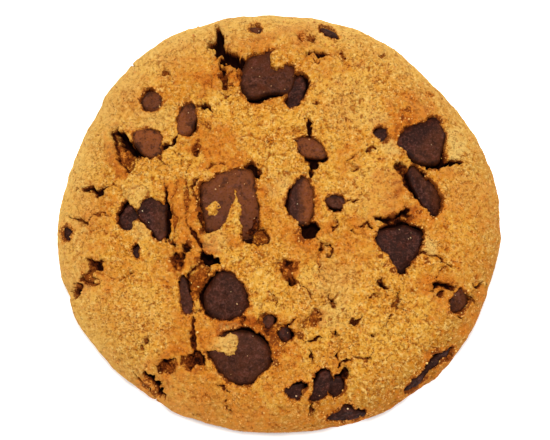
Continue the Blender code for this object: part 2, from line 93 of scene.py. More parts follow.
def on_plan(seen):
    """Plan positions of points of the face that are given as seen."""
    seen = np.array(seen, float).reshape(-1, 2)
    x = (seen[:, 0] - SEEN_CENTRE[0]) * PIXEL
    up = (SEEN_CENTRE[1] - seen[:, 1]) * PIXEL
    y = up.copy()
    for _ in range(12):
        y = (up - (dome(x, y) - SEEN_HEIGHT) * math.sin(SEEN_TILT)) / math.cos(SEEN_TILT)
    return np.stack([x, y], axis=1)


def side_profile(samples=400):
    """Share of the rim and height along the side: 0 the top's middle, 1 the rim, 2 to 3 the base."""
    a = np.linspace(0, math.pi / 2, samples)
    out = np.sin(a) ** (2 / DOME_OUT)
    high = WIDEST_AT + (THICKNESS - WIDEST_AT) * np.cos(a) ** (2 / DOME_UP)
    run = np.concatenate([[0], np.cumsum(np.hypot(np.diff(out * RIM.mean()), np.diff(high)))])
    edge = np.linspace(0, 1, samples)[1:]
    inset = BASE_INSET / RIM.mean()
    edge_out = 1 - inset * (1 - np.cos(edge * math.pi / 2))
    edge_high = WIDEST_AT * (1 - np.sin(edge * math.pi / 2))
    along = np.concatenate([run / run[-1], 1 + edge, [3]])
    return along, np.concatenate([out, edge_out, [0]]), np.concatenate([high, edge_high, [0]])


PROFILE = side_profile()


def dough_places(along, bearing):
    """Points of the plain dough, in millimetres."""
    share = np.interp(along, PROFILE[0], PROFILE[1]) * rim_at(bearing)
    high = np.interp(along, PROFILE[0], PROFILE[2])
    return np.stack([share * np.cos(bearing), share * np.sin(bearing), high], axis=1)


def dough_normals(along, bearing, step=0.004):
    """Outward normals of the plain dough, from small steps down and round it."""
    low, high = np.clip(along - step, 0, 3), np.clip(along + step, 0, 3)
    down = dough_places(high, bearing) - dough_places(low, bearing)
    turn = step / np.clip(along, 0.05, 1)
    around = dough_places(along, bearing + turn) - dough_places(along, bearing - turn)
    normal = np.cross(down, around)
    normal[along < 0.03] = (0, 0, 1)
    normal[along >= 2] = (0, 0, -1)
    return normal / np.maximum(np.linalg.norm(normal, axis=1), 1e-9)[:, None]


# The skin: it dries first in the oven and tears as the dough under it swells, so it carries swells and
# lumps, cracks, hollows with a raw-edged wall, and flaps of dough left lying over the chocolate.

def cloud(plan, size, seed):
    """Smooth noise from -1 to 1 over the plan, in lumps of about the given size."""
    cells = 128
    lattice = np.random.default_rng(seed).uniform(-1, 1, (cells, cells))
    turn = 0.7 + 1.9 * seed
    spin = np.array([[math.cos(turn), -math.sin(turn)], [math.sin(turn), math.cos(turn)]])
    spot = plan @ spin / size + 37.3
    low = np.floor(spot).astype(int)
    t = spot - low
    t = t * t * (3 - 2 * t)
    i, j = low[:, 0] % cells, low[:, 1] % cells
    k, m = (i + 1) % cells, (j + 1) % cells
    near_side = lattice[i, j] * (1 - t[:, 0]) + lattice[k, j] * t[:, 0]
    far_side = lattice[i, m] * (1 - t[:, 0]) + lattice[k, m] * t[:, 0]
    return near_side * (1 - t[:, 1]) + far_side * t[:, 1]


def smooth_loop(points, per_side=6):
    """A closed smooth curve through the points."""
    before, after, next_but_one = (np.roll(points, k, axis=0) for k in (1, -1, -2))
    t = (np.arange(per_side) / per_side)[None, :, None]
    p0, p1, p2, p3 = (p[:, None, :] for p in (before, points, after, next_but_one))
    curve = 2 * p1 + (p2 - p0) * t + (2 * p0 - 5 * p1 + 4 * p2 - p3) * t**2
    curve = 0.5 * (curve + (3 * p1 - p0 - 3 * p2 + p3) * t**3)
    return curve.reshape(-1, 2)


def distance_to_line(points, line):
    """Distance from each point to an open line, and how far along the line it is, from 0 to 1."""
    best = np.full(len(points), np.inf)
    along = np.zeros(len(points))
    steps = np.linalg.norm(np.diff(line, axis=0), axis=1)
    begun = 0.0
    for start, end, step in zip(line[:-1], line[1:], steps):
        t = np.clip(((points - start) @ (end - start)) / max(step * step, 1e-9), 0, 1)
        d = np.linalg.norm(points - (start + t[:, None] * (end - start)), axis=1)
        nearer = d < best
        best = np.where(nearer, d, best)
        along = np.where(nearer, (begun + t * step) / steps.sum(), along)
        begun += step
    return best, along


def inside(points, loop):
    """Which points lie inside a closed loop, by counting crossings."""
    odd = np.zeros(len(points), bool)
    for (x1, y1), (x2, y2) in zip(loop, np.roll(loop, -1, axis=0)):
        spans = (y1 > points[:, 1]) != (y2 > points[:, 1])
        crossing = x1 + (points[:, 1] - y1) * (x2 - x1) / (y2 - y1 if y2 != y1 else 1e-9)
        odd ^= spans & (points[:, 0] < crossing)
    return odd


def distance_to_loop(points, loop):
    """Signed distance to a closed loop: below zero inside it."""
    d, _ = distance_to_line(points, np.vstack([loop, loop[:1]]))
    return np.where(inside(points, loop), -d, d)


def ease(low, high, value):
    """Nothing below low, rising smoothly to one at high."""
    t = np.clip((value - low) / (high - low), 0, 1)
    return t * t * (3 - 2 * t)


REACH = 4.0


def near(points, shape, reach=REACH):
    """Indices of the points within reach of a shape's bounding box."""
    low, high = shape.min(0) - reach, shape.max(0) + reach
    return np.nonzero(((points >= low) & (points <= high)).all(axis=1))[0]


# Each chocolate piece: its outline as seen, how far its face lies below the skin, how deep it reaches,
# the side and width of the open gap beside it, the width of the narrow gap all round it (moat), how pale
# it is, towards which bearing one side is painted paler as painted light, how domed its face is and how
# often cut (facets).
CHIPS = {
    "chunk_top": dict(sink=0.9, depth=5.0, side=265, gap=1.1, pale=0.22, seen=[
        (242, 72), (245, 66), (249, 58), (258, 53), (266, 51), (274, 50), (282, 54), (289, 62), (294, 68),
        (293, 76), (291, 84), (286, 90), (272, 91), (264, 94), (256, 96), (247, 95), (242, 86)]),
    "chunk_top_lobe": dict(sink=1.7, depth=3.6, side=20, gap=0.5, moat=0.1, seen=[
        (294, 76), (300, 73), (304, 75), (307, 82), (304, 92), (300, 101), (295, 104), (290, 106),
        (287, 101), (289, 92)]),
    "chunk_right": dict(sink=0.5, depth=4.6, side=290, gap=0.7, moat=0.02, pale=0.06, crown=0.3,
        facets=1, lit_side=(320, 0.12), seen=[
        (400, 138), (404, 131), (408, 127), (414, 124), (420, 121), (428, 119), (433, 116), (439, 116),
        (443, 121), (443, 127), (446, 134), (444, 142), (443, 152), (441, 161), (434, 164), (424, 163),
        (414, 158), (408, 152), (401, 147)]),
    "chip_right_small": dict(sink=0.9, depth=2.4, side=120, gap=0.1, seen=[
        (375, 132), (379, 127), (385, 128), (388, 133), (386, 139), (382, 142)]),
    "shard_right": dict(sink=1.0, depth=3.4, side=200, gap=0.9, moat=0.04, pale=0.08, facets=2,
        lit_side=(30, 0.15), seen=[
        (409, 171), (414, 165), (420, 171), (426, 178), (432, 183), (438, 190), (442, 199), (440, 208),
        (437, 216), (431, 214), (427, 207), (421, 200), (415, 190), (411, 180)]),
    "chunk_right_low": dict(sink=0.8, depth=4.6, side=80, gap=0.25, moat=0.03, facets=2, seen=[
        (376, 238), (378, 231), (384, 228), (392, 227), (398, 225), (405, 223), (414, 227), (421, 231),
        (422, 237), (419, 246), (418, 254), (413, 261), (407, 266), (402, 273), (396, 269), (392, 261),
        (388, 254), (382, 250), (378, 245)]),
    "chip_round": dict(sink=0.4, depth=5.0, side=170, gap=0.3, moat=0.02, pale=0.07, crown=0.8,
        seen=[
        (203, 299), (204, 291), (209, 283), (214, 277), (220, 272), (227, 271), (233, 273), (239, 280),
        (244, 288), (247, 297), (247, 305), (243, 312), (238, 317), (230, 319), (222, 319), (213, 316),
        (206, 310)]),
    "sliver_left": dict(sink=0.9, depth=3.0, side=60, gap=0.3, pale=0.1, seen=[
        (180, 279), (184, 276), (188, 284), (190, 296), (193, 308), (190, 312), (184, 312), (181, 300)]),
    "chip_low": dict(sink=0.5, depth=5.2, side=60, gap=0.6, moat=0.04, pale=0.15, crown=0.7,
        seen=[
        (208, 352), (212, 343), (219, 336), (228, 332), (237, 330), (246, 330), (255, 333), (263, 339),
        (269, 348), (270, 358), (267, 368), (260, 374), (253, 381), (244, 384), (235, 382), (226, 378),
        (219, 370), (214, 361)]),
    "chunk_mid_flat": dict(sink=0.3, depth=4.8, side=190, gap=0.0, pale=0.55, facets=1,
        lit_side=(60, 0.12), seen=[
        (201, 186), (206, 182), (214, 178), (221, 173), (230, 170), (240, 169), (250, 171), (253, 178),
        (255, 190), (258, 203), (259, 216), (258, 230), (250, 235), (240, 236), (226, 234), (214, 232),
        (207, 230), (204, 220), (201, 208), (200, 196)]),
    "chip_mid": dict(sink=0.6, depth=3.8, side=170, gap=0.25, moat=0.03, pale=0.5, facets=1,
        lit_side=(0, 0.45), seen=[
        (290, 191), (293, 186), (298, 180), (304, 178), (309, 182), (313, 189), (313, 202), (312, 212),
        (309, 221), (301, 223), (294, 219), (289, 211), (288, 200)]),
    "chip_mid_top": dict(sink=0.5, depth=3.0, side=290, gap=0.3, moat=0.07, pale=0.75, seen=[
        (296, 141), (301, 138), (309, 138), (316, 141), (322, 147), (326, 154), (323, 158), (316, 158),
        (307, 156), (300, 151)]),
    "chip_mid_small": dict(sink=0.6, depth=2.4, side=250, gap=0.3, moat=0.04, pale=0.2, seen=[
        (326, 201), (330, 196), (337, 196), (343, 199), (345, 203), (341, 207), (333, 208)]),
    "chip_left": dict(sink=0.2, depth=4.0, side=230, gap=0.3, moat=0.02, pale=0.9,
        lit_side=(80, 0.12), seen=[
        (133, 136), (136, 131), (143, 130), (152, 131), (159, 134), (160, 143), (159, 152), (153, 156),
        (144, 155), (137, 149)]),
    "chip_left_top": dict(sink=0.4, depth=3.2, side=330, gap=0.4, pale=0.65, lit_side=(200, 0.2),
        seen=[
        (180, 113), (184, 106), (190, 103), (195, 108), (196, 117), (194, 126), (189, 132), (182, 133),
        (177, 128), (179, 120)]),
    "chip_round_small": dict(sink=0.3, depth=3.0, side=120, gap=0.3, pale=0.5, crown=0.5, seen=[
        (141, 100), (143, 94), (148, 90), (154, 91), (159, 95), (160, 101), (157, 107), (151, 109),
        (145, 107)]),
    "chip_left_mid": dict(sink=1.2, depth=3.2, side=120, gap=0.4, moat=0.04, seen=[
        (119, 217), (122, 210), (127, 203), (132, 206), (136, 213), (134, 222), (129, 229), (123, 229),
        (119, 224)]),
    "chunk_left_mid": dict(sink=0.7, depth=4.2, side=0, gap=0.4, moat=0.04, pale=0.08,
        lit_side=(0, 0.1), seen=[
        (138, 210), (140, 205), (145, 199), (151, 197), (157, 200), (162, 203), (166, 204), (166, 218),
        (166, 231), (161, 239), (156, 237), (152, 230), (146, 224), (140, 217)]),
    "chip_bottom_small": dict(sink=0.6, depth=2.6, side=60, gap=0.4, moat=0.02, seen=[
        (284, 391), (290, 386), (297, 384), (304, 383), (302, 391), (297, 399), (291, 397)]),
    "chip_bottom": dict(sink=0.6, depth=3.2, side=110, gap=0.3, moat=0.02, seen=[
        (310, 398), (314, 390), (316, 380), (320, 372), (327, 371), (331, 377), (330, 386), (325, 395),
        (318, 400)]),
    "chip_bottom_right": dict(sink=0.9, depth=2.8, side=60, gap=0.3, moat=0.02, seen=[
        (333, 380), (340, 377), (343, 383), (341, 392), (335, 396), (330, 391)]),
    "chip_rim_bottom": dict(sink=0.4, depth=2.6, side=90, gap=0.4, seen=[
        (328, 419), (334, 414), (342, 410), (349, 407), (356, 412), (366, 413), (361, 417), (350, 419),
        (339, 420)]),
    "shard_rim_low": dict(sink=0.5, depth=2.2, side=130, gap=0.3, seen=[
        (405, 391), (410, 384), (417, 378), (424, 373), (429, 372), (424, 379), (417, 385), (410, 390)]),
    "chunk_rim": dict(sink=0.6, depth=3.0, side=130, gap=0.7, moat=0.07, seen=[
        (427, 373), (429, 366), (435, 360), (442, 354), (449, 349), (452, 349), (448, 356), (441, 363),
        (434, 369)]),
    "chip_rim_right": dict(sink=0.4, depth=3.0, side=200, gap=0.3, moat=0.03, pale=0.3, seen=[
        (450, 303), (453, 297), (459, 290), (465, 292), (467, 300), (463, 307), (456, 311), (450, 310)]),
    "chip_top_rim": dict(sink=0.2, depth=2.2, side=60, gap=0.3, moat=0.1, pale=0.1, seen=[
        (321, 26), (328, 27), (334, 31), (338, 35), (332, 35), (325, 31)]),
    "chip_top_small": dict(sink=0.4, depth=1.8, side=90, gap=0.3, pale=0.4, seen=[
        (251, 27), (256, 25), (261, 28), (260, 31), (254, 30)]),
    "chip_rim_left": dict(sink=0.5, depth=1.8, side=0, gap=0.3, seen=[
        (63, 229), (67, 226), (69, 232), (67, 240), (64, 238)]),
    "chip_by_low": dict(sink=0.8, depth=2.2, side=0, gap=0.3, moat=0.03, pale=0.2, seen=[
        (264, 321), (267, 316), (273, 316), (275, 320), (268, 326)]),
    "chip_by_low_right": dict(sink=0.7, depth=2.2, side=0, gap=0.25, moat=0.02, facets=1, seen=[
        (280, 331), (284, 327), (289, 329), (291, 336), (286, 339), (281, 337)]),
    "chip_left_low": dict(sink=0.8, depth=1.8, side=90, gap=0.2, seen=[
        (134, 249), (138, 245), (140, 252), (137, 258), (134, 255)]),
}

# Torn dough that stands over a chocolate face: how high it rises over the dome, and its outline as seen.
FLAPS = [
    (1.0, [(274, 50), (270, 55), (271, 62), (277, 68), (282, 65), (288, 63), (294, 64), (300, 60),
        (305, 57), (307, 48), (303, 42), (297, 38), (291, 36), (286, 39), (281, 45)]),
    (0.6, [(235, 188), (235, 198), (232, 206), (228, 214), (225, 221), (221, 229), (211, 233), (203, 236),
        (205, 243), (220, 246), (238, 246), (243, 238), (241, 226), (240, 212), (240, 200)]),
    (0.35, [(221, 196), (218, 201), (221, 206), (219, 212), (214, 216), (209, 214), (205, 210),
        (208, 205), (213, 201), (217, 196)]),
    (0.8, [(205, 350), (203, 343), (204, 338), (212, 335), (222, 336), (230, 333), (236, 333), (240, 338),
        (240, 344), (237, 350), (233, 356), (229, 356), (224, 352), (214, 351)]),
    (0.5, [(131, 236), (131, 226), (135, 221), (141, 221), (146, 225), (150, 229), (152, 236), (155, 243),
        (148, 247), (138, 245)]),
    (0.65, [(124, 190), (130, 172), (140, 160), (155, 161), (163, 172), (165, 186), (164, 203),
        (158, 200), (150, 196), (143, 199), (139, 208), (135, 206), (132, 203), (127, 198)]),
    (0.5, [(224, 30), (238, 31), (255, 35), (272, 38), (277, 42), (270, 49), (259, 51), (249, 56),
        (238, 53), (227, 48)]),
    (0.3, [(429, 379), (430, 370), (436, 371), (436, 378)]),
    (0.25, [(389, 146), (396, 148), (404, 153), (412, 160), (404, 163), (394, 158), (386, 152)]),
]

# Open hollows in the dough: depth, how waxy and how rough the floor is, and the outline as seen.
HOLLOWS = [
    (2.2, 0.68, 0.1, [(110, 132), (117, 127), (122, 130), (128, 139), (134, 147), (140, 153), (140, 162),
        (133, 170), (125, 170), (119, 160), (114, 146)]),
    (2.6, 0.0, 0.3, [(114, 129), (122, 130), (130, 140), (138, 150), (136, 155), (126, 148), (118, 140)]),
    (1.5, 0.62, 0.6, [(185, 281), (190, 272), (198, 264), (206, 262), (213, 268), (209, 279), (203, 290),
        (203, 309), (194, 311), (190, 298)]),
    (3.8, 0.0, 0.3, [(201, 253), (209, 253), (216, 257), (221, 262), (216, 266), (205, 264)]),
    (3.6, 0.0, 0.3, [(296, 223), (304, 224), (312, 222), (319, 229), (315, 235), (309, 239), (303, 235)]),
    (1.5, 0.0, 1.0, [(375, 218), (386, 219), (396, 217), (407, 212), (415, 220), (403, 228), (388, 227)]),
    (2.0, 0.0, 1.0, [(243, 165), (247, 160), (253, 160), (257, 165), (261, 173), (255, 176), (249, 170)]),
    (1.4, 0.45, 0.6, [(250, 236), (257, 230), (266, 231), (270, 240), (260, 246), (250, 243)]),
    (2.2, 0.0, 0.5, [(236, 240), (240, 234), (248, 233), (255, 234), (252, 241), (242, 243)]),
    (1.3, 0.3, 1.0, [(157, 367), (166, 360), (176, 359), (180, 366), (172, 373), (161, 374)]),
    (1.3, 0.2, 1.0, [(182, 358), (192, 351), (202, 352), (204, 362), (196, 369), (184, 369)]),
    (1.6, 0.0, 0.5, [(149, 373), (156, 375), (158, 384), (152, 386)]),
    (1.3, 0.0, 1.0, [(170, 256), (176, 251), (184, 252), (186, 261), (179, 270), (173, 266)]),
    (1.0, 0.0, 1.0, [(181, 246), (189, 243), (193, 249), (186, 253)]),
    (1.1, 0.0, 1.0, [(78, 280), (86, 270), (88, 260), (96, 262), (93, 275), (101, 282), (92, 287)]),
    (1.4, 0.0, 1.0, [(93, 263), (101, 259), (103, 266), (96, 270)]),
    (1.0, 0.0, 1.0, [(68, 290), (76, 283), (83, 286), (78, 297), (70, 298)]),
    (1.2, 0.0, 1.0, [(220, 66), (225, 66), (229, 76), (230, 88), (224, 89), (222, 78)]),
    (0.9, 0.9, 1.0, [(230, 70), (240, 70), (240, 86), (232, 84)]),
    (2.2, 0.0, 1.0, [(306, 157), (318, 159), (319, 166), (310, 170), (306, 164)]),
    (1.3, 0.0, 1.0, [(340, 378), (343, 369), (350, 370), (349, 379), (344, 383)]),
    (1.2, 0.0, 1.0, [(281, 259), (290, 259), (298, 264), (299, 270), (294, 273), (297, 281), (291, 286),
        (285, 279), (279, 268)]),
    (1.0, 0.0, 1.0, [(377, 280), (383, 278), (386, 284), (384, 291), (378, 289)]),
    (0.9, 0.0, 1.0, [(430, 287), (436, 282), (447, 282), (449, 287), (438, 291)]),
    (0.9, 0.0, 1.0, [(196, 104), (205, 103), (209, 109), (200, 113)]),
    (1.3, 0.0, 0.4, [(132, 209), (138, 211), (143, 208), (145, 219), (138, 219), (133, 221)]),
    (1.0, 0.0, 1.0, [(193, 141), (200, 138), (203, 150), (199, 158), (193, 153)]),
    (0.8, 0.0, 1.0, [(294, 31), (306, 31), (316, 34), (312, 41), (300, 38)]),
    (0.8, 0.0, 1.0, [(338, 48), (345, 47), (347, 55), (341, 60)]),
    (0.8, 0.0, 1.0, [(140, 336), (147, 338), (148, 346), (142, 346)]),
    (1.8, 0.25, 0.4, [(393, 165), (398, 160), (407, 164), (411, 174), (416, 188), (413, 195), (405, 182),
        (398, 172)]),
    (0.6, 0.0, 1.0, [(300, 321), (312, 310), (322, 312), (318, 322), (306, 328)]),
    (0.8, 0.0, 1.0, [(257, 316), (268, 312), (280, 321), (292, 323), (294, 340), (286, 343), (276, 337),
        (263, 329)]),
]

# Cracks: width and depth in millimetres, and the line as seen.
CRACKS = [
    (2.9, 4.6, [(217, 26), (219, 36), (218, 45), (222, 52), (231, 56), (238, 61), (244, 68)]),
    (2.6, 3.4, [(230, 58), (240, 64), (250, 58)]),
    (1.4, 3.4, [(410, 158), (418, 163), (430, 166), (445, 164), (455, 162), (464, 162)]),
    (0.9, 2.2, [(158, 151), (165, 148), (170, 145), (174, 140), (177, 134), (184, 131)]),
    (1.6, 3.0, [(165, 181), (166, 192), (167, 205)]),
    (1.1, 2.6, [(168, 203), (168, 220), (166, 238)]),
    (0.6, 0.9, [(74, 189), (80, 187), (88, 189)]),
    (1.4, 1.9, [(85, 189), (92, 190), (98, 190), (105, 187)]),
    (0.5, 0.8, [(104, 187), (112, 186), (122, 188)]),
    (0.6, 0.8, [(122, 188), (132, 190), (150, 189)]),
    (0.8, 1.2, [(70, 217), (77, 219), (84, 224), (90, 219)]),
    (0.6, 0.9, [(89, 219), (100, 215), (112, 214)]),
    (1.2, 2.2, [(304, 118), (309, 125), (310, 137)]),
    (0.9, 1.8, [(312, 165), (310, 178)]),
    (2.2, 2.6, [(148, 374), (153, 380), (158, 387), (163, 393), (168, 399)]),
    (0.8, 1.2, [(136, 374), (143, 381), (150, 390), (158, 398)]),
    (1.0, 1.4, [(193, 318), (194, 330), (196, 345), (192, 360)]),
    (1.0, 1.5, [(188, 224), (194, 234), (200, 240), (203, 252)]),
    (0.9, 1.6, [(374, 217), (385, 219), (395, 218), (403, 214), (409, 211)]),
    (0.8, 1.1, [(419, 254), (428, 253), (436, 257), (442, 262), (450, 267)]),
    (0.6, 0.8, [(437, 276), (442, 270), (450, 267)]),
    (0.9, 1.1, [(470, 282), (478, 288), (487, 283)]),
    (0.6, 1.0, [(399, 290), (395, 297), (394, 303), (396, 309), (401, 312)]),
    (0.6, 1.0, [(381, 326), (385, 325), (390, 317)]),
    (0.6, 0.9, [(297, 279), (304, 288), (309, 291), (311, 299)]),
    (0.6, 0.9, [(355, 357), (361, 359), (367, 360), (372, 354), (379, 346)]),
    (0.7, 1.0, [(288, 326), (292, 322), (298, 318)]),
    (0.7, 1.2, [(312, 401), (313, 408), (310, 414)]),
    (0.9, 1.6, [(251, 174), (255, 175), (260, 180)]),
    (0.5, 0.8, [(118, 281), (127, 276), (133, 271)]),
    (0.5, 0.8, [(104, 230), (109, 236)]),
    (0.7, 1.1, [(241, 314), (243, 320), (242, 327)]),
    (0.5, 0.8, [(299, 337), (304, 341), (310, 347)]),
    (0.5, 0.8, [(224, 400), (227, 406), (231, 412)]),
    (0.8, 1.0, [(311, 101), (317, 104)]),
    (0.5, 0.5, [(219, 70), (211, 84), (203, 98)]),
    (1.0, 1.4, [(199, 106), (206, 107), (212, 109)]),
    (0.7, 0.9, [(221, 96), (227, 97), (236, 93), (239, 90)]),
    (1.3, 1.8, [(304, 54), (309, 53), (314, 51), (320, 53), (328, 56)]),
    (0.8, 1.2, [(312, 58), (322, 60)]),
    (0.6, 0.9, [(347, 201), (353, 202), (360, 199)]),
    (0.8, 0.8, [(192, 160), (186, 175), (188, 200), (186, 222)]),
    (0.7, 0.7, [(176, 180), (172, 200), (176, 232), (172, 250)]),
    (0.6, 0.7, [(320, 240), (322, 252), (316, 262), (322, 280)]),
    (0.5, 0.7, [(330, 330), (340, 342), (338, 352)]),
    (0.5, 0.7, [(270, 290), (276, 300), (274, 308)]),
    (0.8, 1.2, [(328, 298), (333, 301), (334, 307)]),
    (0.5, 0.8, [(321, 304), (329, 302), (335, 297)]),
    (0.8, 0.9, [(161, 71), (165, 73), (169, 75)]),
    (0.8, 0.8, [(131, 63), (135, 66)]),
    (0.8, 0.8, [(385, 50), (386, 58)]),
    (0.8, 0.9, [(202, 122), (207, 125), (210, 130)]),
    (0.8, 1.2, [(346, 325), (354, 322), (362, 317)]),
    (1.2, 1.5, [(310, 341), (315, 338), (321, 339)]),
    (1.1, 1.4, [(335, 331), (338, 336)]),
    (1.1, 1.4, [(311, 352), (313, 359)]),
    (1.0, 1.3, [(336, 352), (339, 361)]),
    (1.2, 1.5, [(339, 366), (345, 362), (351, 361)]),
    (0.9, 1.2, [(369, 333), (372, 335)]),
    (1.2, 1.5, [(382, 283), (386, 287), (383, 291)]),
    (0.9, 0.9, [(366, 298), (373, 296), (380, 296)]),
    (1.4, 1.4, [(430, 290), (436, 285), (444, 284), (452, 289)]),
    (1.2, 1.2, [(436, 296), (443, 293)]),
    (1.2, 1.3, [(458, 315), (464, 318)]),
    (0.9, 1.2, [(469, 295), (474, 302)]),
    (0.7, 0.9, [(333, 215), (336, 224), (331, 230)]),
    (1.1, 1.3, [(361, 228), (366, 224), (371, 228)]),
    (0.8, 1.0, [(350, 230), (354, 236)]),
    (0.8, 1.0, [(345, 161), (350, 158), (356, 156)]),
    (0.9, 1.0, [(365, 152), (371, 148), (376, 151)]),
    (0.8, 1.0, [(351, 171), (356, 168)]),
    (1.0, 1.4, [(327, 244), (331, 250), (329, 257)]),
    (1.0, 1.3, [(317, 236), (324, 243), (320, 249)]),
    (0.8, 0.9, [(160, 152), (164, 162), (170, 172)]),
    (0.8, 1.0, [(207, 168), (213, 164), (222, 163)]),
    (0.9, 1.1, [(198, 176), (194, 190), (197, 206)]),
    (1.2, 1.5, [(198, 212), (202, 226), (207, 236)]),
    (0.8, 1.0, [(176, 246), (171, 238), (168, 232)]),
    (0.8, 1.1, [(214, 384), (222, 386), (228, 392)]),
    (0.7, 0.8, [(174, 150), (181, 156), (184, 166)]),
]

# Rolls and lips pushed up between the tears: width and height in millimetres, how toasted the crest is,
# and the line as seen.
RIDGES = [
    (4.4, 0.9, 0.5, [(246, 62), (228, 64), (216, 76), (206, 94), (198, 104)]),
    (3.0, 0.55, 0.55, [(226, 34), (246, 42), (264, 40), (284, 30), (310, 27), (336, 40)]),
    (2.0, 0.6, 0.85, [(215, 66), (207, 82), (200, 99)]),
    (3.0, 0.5, 0.5, [(212, 66), (199, 78), (188, 92)]),
    (1.6, 0.4, 0.0, [(236, 99), (247, 101), (258, 103)]),
    (2.4, 0.8, 0.9, [(214, 327), (232, 323), (252, 325), (266, 332), (274, 345)]),
    (1.8, 0.55, 0.8, [(104, 130), (108, 145), (114, 163), (122, 180)]),
    (1.6, 0.5, 0.85, [(196, 262), (200, 272), (194, 290), (196, 310)]),
    (2.6, 0.45, 0.75, [(412, 110), (398, 124), (394, 140), (400, 154)]),
    (1.6, 0.5, 0.7, [(388, 162), (402, 174), (412, 188), (414, 202)]),
    (2.8, 0.5, 0.0, [(448, 122), (452, 140), (460, 158)]),
    (3.6, 0.45, 0.3, [(172, 180), (180, 205), (186, 230)]),
    (2.0, 0.45, 0.6, [(372, 214), (388, 214), (408, 207)]),
    (2.2, 0.45, 0.3, [(248, 101), (262, 104), (278, 99), (288, 108)]),
    (2.4, 0.5, 0.7, [(142, 372), (150, 390), (164, 400)]),
    (2.2, 0.5, 0.75, [(160, 352), (184, 348), (204, 346)]),
    (2.4, 0.4, 0.5, [(196, 372), (212, 374), (218, 386)]),
    (2.6, 0.35, 0.5, [(262, 176), (264, 200), (266, 226)]),
    (2.0, 0.3, 0.5, [(316, 180), (318, 205), (322, 226)]),
    (2.8, 0.35, 0.5, [(452, 346), (464, 330), (474, 312)]),
    (1.5, 0.35, 0.3, [(410, 397), (426, 388), (440, 376), (452, 364), (459, 352)]),
]

SWELL, SWELL_SIZE = 0.45, 15.0
LUMP, LUMP_SIZE = 0.4, 4.2
KNOB, KNOB_SIZE = 0.26, 1.9
LIP, LIP_OUT = 0.16, 0.35
POCKET_DROP = 1.0
GAP_DROP = 1.6
STAIN_REACH = 1.2
FLAP_ROLL, FLAP_ROLL_REACH = 0.35, 1.8
CRACK_ENDS = 0.35
HOLLOW_WALL = 0.35


def fullness(along, end):
    """Grows from the ends of a line to its middle, and stays level over the last part at each end."""
    return np.sin(np.pi * np.clip(along, end, 1 - end))


def cut_crack(height, torn, width, depth, seen):
    """A tapering ragged crack with a low lip along each side."""
    line = on_plan(seen)
    at = near(torn, line)
    d, along = distance_to_line(torn[at], line)
    half = width / 2 * (CRACK_ENDS + (1 - CRACK_ENDS) * fullness(along, 0.05))
    half *= np.clip(1 + 0.7 * cloud(torn[at], 1.1, 21) + 0.5 * cloud(torn[at], 0.6, 28), 0.12, 2)
    height[at] -= depth * (1 - ease(0.5, 1.0, d / half))
    lip = np.exp(-(((d - half - LIP_OUT) / LIP_OUT) ** 2)) * fullness(along, 0.1)
    height[at] += LIP * width * lip * (1 + 0.8 * cloud(torn[at], 0.8, 26))


def push_ridge(height, toast, torn, width, rise, toasted, seen):
    """A soft roll of dough that fades out at its ends and toasts on its crest."""
    line = on_plan(seen)
    at = near(torn, line)
    d, along = distance_to_line(torn[at], line)
    crest = fullness(along, 0.1) * np.exp(-((2 * d / width) ** 2))
    height[at] += rise * crest * (1 + 0.4 * cloud(torn[at], 1.5, 24))
    toast[at] = np.maximum(toast[at], toasted * crest)


def sink_hollow(height, waxy, torn, depth, wax, rough, seen):
    """A hollow with a steep wall, its floor as rough and as waxy as told."""
    loop = smooth_loop(on_plan(seen))
    at = near(torn, loop)
    d = distance_to_loop(torn[at], loop)
    uneven = 1 + rough * (0.7 * cloud(torn[at], 1.1, 22) + 0.45 * cloud(torn[at], 0.6, 27))
    height[at] -= depth * np.clip(uneven, 0.1, 2) * (1 - ease(-HOLLOW_WALL, 0.05, d))
    within = 1 - ease(-0.6, -0.2, d)
    waxy[at] = waxy[at] * (1 - within) + wax * within


def seat_chip(height, stain, torn, chip):
    """Lowers the skin under a chocolate face, and a little past it on the side of its gap."""
    loop = smooth_loop(on_plan(chip["seen"]))
    at = near(torn, loop)
    away = torn[at] - loop.mean(0)
    turn = math.radians(chip["side"])
    facing = away @ np.array([math.cos(turn), math.sin(turn)]) / np.maximum(np.hypot(*away.T), 1e-6)
    past = distance_to_loop(torn[at], loop)
    moat = chip.get("moat", 0.0) * (1 + 1.3 * cloud(torn[at], 1.6, 25))
    d = past - chip["gap"] * np.clip(facing, 0, 1) ** 2 - moat
    floor = -chip["sink"] - POCKET_DROP - GAP_DROP * ease(-0.4, 0.1, past)
    w = ease(-0.12, 0.16, d)
    height[at] = np.minimum(height[at], height[at] * w + floor * (1 - w))
    stain[at] = np.maximum(stain[at], 1.2 * (1 - ease(0.1, STAIN_REACH, d)))


def lay_flap(height, stain, torn, rise, seen):
    """Lays a flap of clean dough, rounded towards its edge, over whatever was cut there."""
    loop = smooth_loop(on_plan(seen))
    at = near(torn, loop)
    d = distance_to_loop(torn[at], loop)
    w = ease(-0.2, 0.1, -d)
    stain[at] *= 1 - ease(-0.2, 0.4, -d)
    crown = rise - FLAP_ROLL * (1 - ease(0, FLAP_ROLL_REACH, -d)) + 0.2 * cloud(torn[at], 1.4, 23)
    height[at] = height[at] * (1 - w) + np.maximum(height[at], crown) * w


# Chocolate that reached the tray and lies flush in the underside: its middle, half widths and turn.
BASE_CHIPS = {
    "base_chip_front": dict(at=(-8.0, -21.0), half=(5.2, 4.2), turn=20),
    "base_chip_left": dict(at=(-25.0, 4.0), half=(4.4, 3.4), turn=75),
    "base_chip_back": dict(at=(7.0, 25.0), half=(5.4, 3.8), turn=-30),
    "base_chip_right": dict(at=(24.0, -9.0), half=(4.6, 4.4), turn=10),
    "base_chip_centre": dict(at=(3.0, 3.0), half=(3.6, 2.8), turn=50),
}
BASE_POCKET = 1.3


